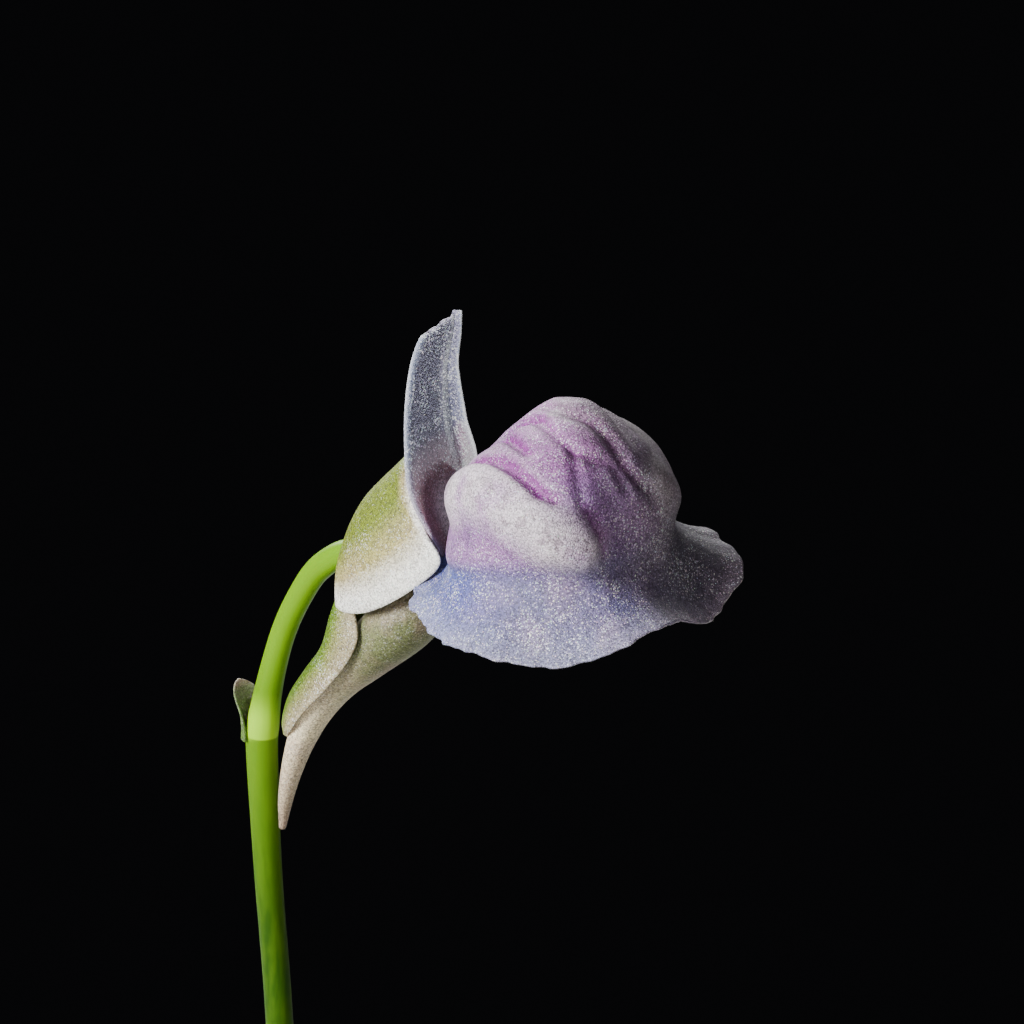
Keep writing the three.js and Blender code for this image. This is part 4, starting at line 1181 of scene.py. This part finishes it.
# %% The lawn's tree
def lawn_tree(material, rings, sides):
    """Blades with so many rings and sides, on points that are spread over a ground."""
    sizes = ("Spacing", "Shortest", "Longest", "Width", "Thickness", "Lean", "Sink", "Clear")
    tree, add = new_growth("lawn", sizes)
    given = add("NodeGroupInput").outputs
    # Each draw has a seed of its own, so that a long blade isn't always a wide one.
    ranges = (
        (-1.2, 1.2), (-math.pi, math.pi), (0.0, 1.0), (given["Shortest"], given["Longest"]),
        (0.75, 1.15), (0.15, 1.0),
    )
    turned, anyway, tone, length, wide, drawn = (
        add("FunctionNodeRandomValue", {
            "Min": least,
            "Max": most,
            "Seed": add("ShaderNodeMath", [given["Seed"], float(draw)], operation="ADD"),
        }).outputs[1]
        for draw, (least, most) in enumerate(ranges)
    )
    # Points keep clear of the flower stalk's foot.
    place = add("GeometryNodeInputPosition")
    level = add("ShaderNodeVectorMath", [place, (1, 1, 0)], operation="MULTIPLY")
    foot = (STALK_FOOT[0] * MM, STALK_FOOT[1] * MM, 0)
    from_stalk = add("ShaderNodeVectorMath", [level, foot], operation="DISTANCE")
    free = add("FunctionNodeCompare", {"A": from_stalk.outputs["Value"], "B": given["Clear"]})
    points = add("GeometryNodeDistributePointsOnFaces", {
        "Mesh": given["Geometry"],
        "Distance Min": given["Spacing"],
        "Density Max": 4e6,
        "Density Factor": free,
        "Seed": given["Seed"],
    }, distribute_method="POISSON")
    # Each point gets a way to lean: outwards near the wall, any way elsewhere.
    parts = add("ShaderNodeSeparateXYZ", {"Vector": place})
    outward = add("ShaderNodeMath", [parts.outputs["Y"], parts.outputs["X"]], operation="ARCTAN2")
    outward = add("ShaderNodeMath", [outward, turned], operation="ADD")
    reach = add("ShaderNodeVectorMath", {"Vector": level}, operation="LENGTH")
    near_wall = add("ShaderNodeMath", [reach.outputs["Value"], NEAR_WALL * MM], operation="GREATER_THAN")
    ways = {"Switch": near_wall, "False": anyway, "True": outward}
    heading = add("GeometryNodeSwitch", ways, input_type="FLOAT")
    lean = add("ShaderNodeMath", [drawn, given["Lean"]], operation="MULTIPLY")
    kept = points
    for name, value in (("heading", heading), ("lean", lean), ("tone", tone)):
        kept = add("GeometryNodeStoreNamedAttribute", {"Geometry": kept, "Name": name, "Value": value},
                        data_type="FLOAT", domain="POINT")
    # The blade is a closed tube, pressed flat, that narrows to its foot and ends in a blunt tip.
    tube = add("GeometryNodeMeshCylinder", {
        "Vertices": sides, "Side Segments": rings, "Radius": 0.5, "Depth": 1.0,
    }, fill_type="NGON")
    rise = add("ShaderNodeSeparateXYZ", {"Vector": place})
    even = add("ShaderNodeMath", [0.5, rise.outputs["Z"]], operation="SUBTRACT")
    crowded = add("ShaderNodeMath", [even, 1.7], operation="POWER")
    share = add("ShaderNodeMath", [1.0, crowded], operation="SUBTRACT")
    profile = add("ShaderNodeFloatCurve", {"Value": share})
    curve = profile.mapping.curves[0]
    curve.points[0].location = (0.0, 0.34)
    curve.points[1].location = (1.0, 0.14)
    for at, value in ((0.35, 0.64), (0.7, 1.0), (0.85, 0.93), (0.94, 0.68)):
        curve.points.new(at, value)
    profile.mapping.update()
    thick = add("ShaderNodeMath", [rise.outputs["X"], profile], operation="MULTIPLY")
    broad = add("ShaderNodeMath", [rise.outputs["Y"], profile], operation="MULTIPLY")
    shaped = add("ShaderNodeCombineXYZ", {"X": thick, "Y": broad, "Z": share})
    marked = add("GeometryNodeStoreNamedAttribute", {
        "Geometry": tube.outputs["Mesh"], "Name": "share", "Value": share,
    }, data_type="FLOAT", domain="POINT")
    blade = add("GeometryNodeSetPosition", {"Geometry": marked, "Position": shaped})
    # One blade on each point, turned its way and drawn out to its own length and width.
    width = add("ShaderNodeMath", [wide, given["Width"]], operation="MULTIPLY")
    size = add("ShaderNodeCombineXYZ", {"X": given["Thickness"], "Y": width, "Z": length})
    turn = add("ShaderNodeCombineXYZ", {"Z": heading})
    standing = add("GeometryNodeInstanceOnPoints", {
        "Points": kept, "Instance": blade, "Rotation": turn, "Scale": size,
    })
    joined = add("GeometryNodeRealizeInstances", {"Geometry": standing})
    # The joined blades bend over, each by its own lean, and sink a little into the soil.
    share, lean, heading = (
        add("GeometryNodeInputNamedAttribute", {"Name": name}, data_type="FLOAT")
        for name in ("share", "lean", "heading")
    )
    bend = add("ShaderNodeMath", [share, 1.9], operation="POWER")
    out = add("ShaderNodeMath", [bend, lean], operation="MULTIPLY")
    east = add("ShaderNodeMath", [heading], operation="COSINE")
    north = add("ShaderNodeMath", [heading], operation="SINE")
    way = add("ShaderNodeCombineXYZ", {"X": east, "Y": north})
    over = add("ShaderNodeVectorMath", {"Vector": way, "Scale": out}, operation="SCALE")
    sag = add("ShaderNodeMath", [out, -0.18], operation="MULTIPLY")
    down = add("ShaderNodeMath", [sag, given["Sink"]], operation="SUBTRACT")
    low = add("ShaderNodeCombineXYZ", {"Z": down})
    offset = add("ShaderNodeVectorMath", [over, low], operation="ADD")
    bent = add("GeometryNodeSetPosition", {"Geometry": joined, "Offset": offset})
    smooth = add("GeometryNodeSetShadeSmooth", {"Geometry": bent})
    dressed = add("GeometryNodeSetMaterial", {"Geometry": smooth, "Material": material})
    add("NodeGroupOutput", {"Geometry": dressed})
    return tree


def leaf_material(name, low, high, tip):
    """A leaf's skin: darker at its foot, a few tones from leaf to leaf, and paler at its tip."""
    material, add = new_material(name)
    share, tone = (
        add("ShaderNodeAttribute", attribute_name=attribute).outputs["Fac"] for attribute in ("share", "tone")
    )
    spot = add("ShaderNodeTexCoord").outputs["Object"]
    drawn_out = add("ShaderNodeMapping", {"Vector": spot, "Scale": (1.0, 1.0, 0.15)})
    veins = add("ShaderNodeTexNoise", {"Vector": drawn_out, "Scale": per_metre(0.3), "Detail": 3.0})
    colour = layered(add, low, [
        (share, 0.0, 0.5, 1.0, high),
        (tone, 0.0, 1.0, 0.5, tip),
        (veins, 0.5, 0.7, 0.3, low),
        (share, 0.86, 1.0, 0.5, tip),
    ])
    relief = add("ShaderNodeBump", {"Height": veins, "Strength": 0.3, "Distance": 0.05 * MM})
    finish_shader(add, {
        "Base Color": colour,
        "Roughness": 0.38,
        "IOR": 1.42,
        "Normal": relief,
        "Subsurface Weight": 0.25,
        "Subsurface Radius": (0.6, 1.0, 0.15),
        "Subsurface Scale": 0.5 * MM,
    })
    return material


# %% The leaves and the moss
leaf_skin = leaf_material("leaf blade", "#28430b", "#4f7916", "#869e30")
leaves = grow("leaf_carpet", make_ground("leaf ground", 0, PLANTED_RADIUS), lawn_tree(leaf_skin, 8, 6), {
    "Spacing": 1.2 * MM, "Shortest": 11.0 * MM, "Longest": 21.5 * MM, "Width": 1.6 * MM,
    "Thickness": 0.4 * MM, "Lean": 7.5 * MM, "Sink": 1.2 * MM, "Clear": 1.6 * MM, "Seed": 5,
})
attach(leaves, "root")
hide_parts(*(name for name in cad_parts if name.startswith("leaf_tuft")))

moss_skin = leaf_material("moss", "#25340a", "#5d751c", "#989e42")
moss = grow("moss", make_ground("moss ground", 20.4, 22.9), lawn_tree(moss_skin, 4, 4), {
    "Spacing": 0.42 * MM, "Shortest": 0.9 * MM, "Longest": 2.3 * MM, "Width": 0.4 * MM,
    "Thickness": 0.25 * MM, "Lean": 0.7 * MM, "Sink": 0.3 * MM, "Clear": 1.6 * MM, "Seed": 9,
})
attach(moss, "root")

# %% [markdown]
# Crumbs and grains are small round solids, pushed out of shape by noise once they are joined, so no two are
# alike.

# %% Crumbs of peat and grains of sand
def crumb_tree(material):
    tree, add = new_growth("crumbs", ("Spacing", "Smallest", "Largest", "Roughness"))
    given = add("NodeGroupInput").outputs
    points = add("GeometryNodeDistributePointsOnFaces", {
        "Mesh": given["Geometry"],
        "Distance Min": given["Spacing"],
        "Density Max": 6e5,
        "Seed": given["Seed"],
    }, distribute_method="POISSON")
    crumb = add("GeometryNodeMeshIcoSphere", {"Radius": 0.5, "Subdivisions": 2})
    turn = add("FunctionNodeRandomValue", {"Max": (6.3, 6.3, 6.3), "Seed": given["Seed"]},
                    data_type="FLOAT_VECTOR")
    size = add("FunctionNodeRandomValue", {
        "Min": given["Smallest"], "Max": given["Largest"], "Seed": given["Seed"],
    })
    strewn = add("GeometryNodeInstanceOnPoints", {
        "Points": points, "Instance": crumb.outputs["Mesh"], "Rotation": turn, "Scale": size.outputs[1],
    })
    joined = add("GeometryNodeRealizeInstances", {"Geometry": strewn})
    lumps = add("ShaderNodeTexNoise", {"Scale": per_metre(0.5), "Detail": 1.0})
    centred = add("ShaderNodeVectorMath", [lumps.outputs["Color"], (0.5, 0.5, 0.5)], operation="SUBTRACT")
    push = add("ShaderNodeVectorMath", {"Vector": centred, "Scale": given["Roughness"]}, operation="SCALE")
    rough = add("GeometryNodeSetPosition", {"Geometry": joined, "Offset": push})
    dressed = add("GeometryNodeSetMaterial", {"Geometry": rough, "Material": material})
    add("NodeGroupOutput", {"Geometry": dressed})
    return tree


def sand_material():
    material, add = new_material("quartz sand")
    spot = add("ShaderNodeTexCoord").outputs["Object"]
    cloud = add("ShaderNodeTexNoise", {"Vector": spot, "Scale": per_metre(0.8), "Detail": 3.0})
    colour = layered(add, "#a0967f", [(cloud, 0.4, 0.65, 0.8, "#6c5c45")])
    finish_shader(add, {"Base Color": colour, "Roughness": 0.35})
    return material


crumbs = grow("peat_crumbs", make_ground("crumb ground", 0, 23.0), crumb_tree(peat), {
    "Spacing": 1.3 * MM, "Smallest": 0.4 * MM, "Largest": 1.2 * MM, "Roughness": 0.5 * MM, "Seed": 3,
})
grains = grow("sand_grains", make_ground("sand ground", 0, 23.0), crumb_tree(sand_material()), {
    "Spacing": 2.6 * MM, "Smallest": 0.3 * MM, "Largest": 0.8 * MM, "Roughness": 0.3 * MM, "Seed": 11,
})
for piece in (crumbs, grains):
    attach(piece, "root")

# %% [markdown]
# ## The studio
#
# The plant stands on a plain pale disc in a dark room. A broad soft light from the camera's left does most
# of the work, as in the photograph, a second one comes from farther round on that side, and two weak ones
# keep the far side and the back from going black.

# %% Floor and lights
FLOOR_RADIUS = 240


def make_floor():
    work = bmesh.new()
    bmesh.ops.create_circle(work, cap_ends=True, segments=128, radius=FLOOR_RADIUS * MM)
    mesh = bpy.data.meshes.new("floor")
    work.to_mesh(mesh)
    work.free()
    floor = bpy.data.objects.new("floor", mesh)
    bpy.context.scene.collection.objects.link(floor)
    material, add = new_material("pale card")
    finish_shader(add, {"Base Color": linear("#bab7b1"), "Roughness": 0.9})
    mesh.materials.append(material)


def make_light(name, azimuth, elevation, distance, size, watts, target):
    """A square soft light that looks at a target, its azimuth as the camera's."""
    back = direction(math.radians(azimuth), math.radians(elevation))
    lamp = bpy.data.lights.new(name, "AREA")
    lamp.size = size * MM
    lamp.energy = watts
    light = bpy.data.objects.new(name, lamp)
    light.location = (Vector(target) + back * distance) * MM
    light.rotation_euler = (-back).to_track_quat("-Z", "Y").to_euler()
    light.visible_camera = False
    bpy.context.scene.collection.objects.link(light)


make_floor()
make_light("key", -20, 22, 420, 160, 6.1, (5, 0, 108))
make_light("side", -120, 30, 420, 160, 2.3, (5, 0, 108))
make_light("fill", 40, 12, 420, 200, 0.85, (5, 0, 108))
make_light("back", 205, 35, 520, 260, 1.3, (0, 0, 70))
world = bpy.data.worlds.new("dark room")
world.use_nodes = True
world.node_tree.nodes["Background"].inputs["Color"].default_value = (0.003, 0.003, 0.0035, 1)
bpy.context.scene.world = world
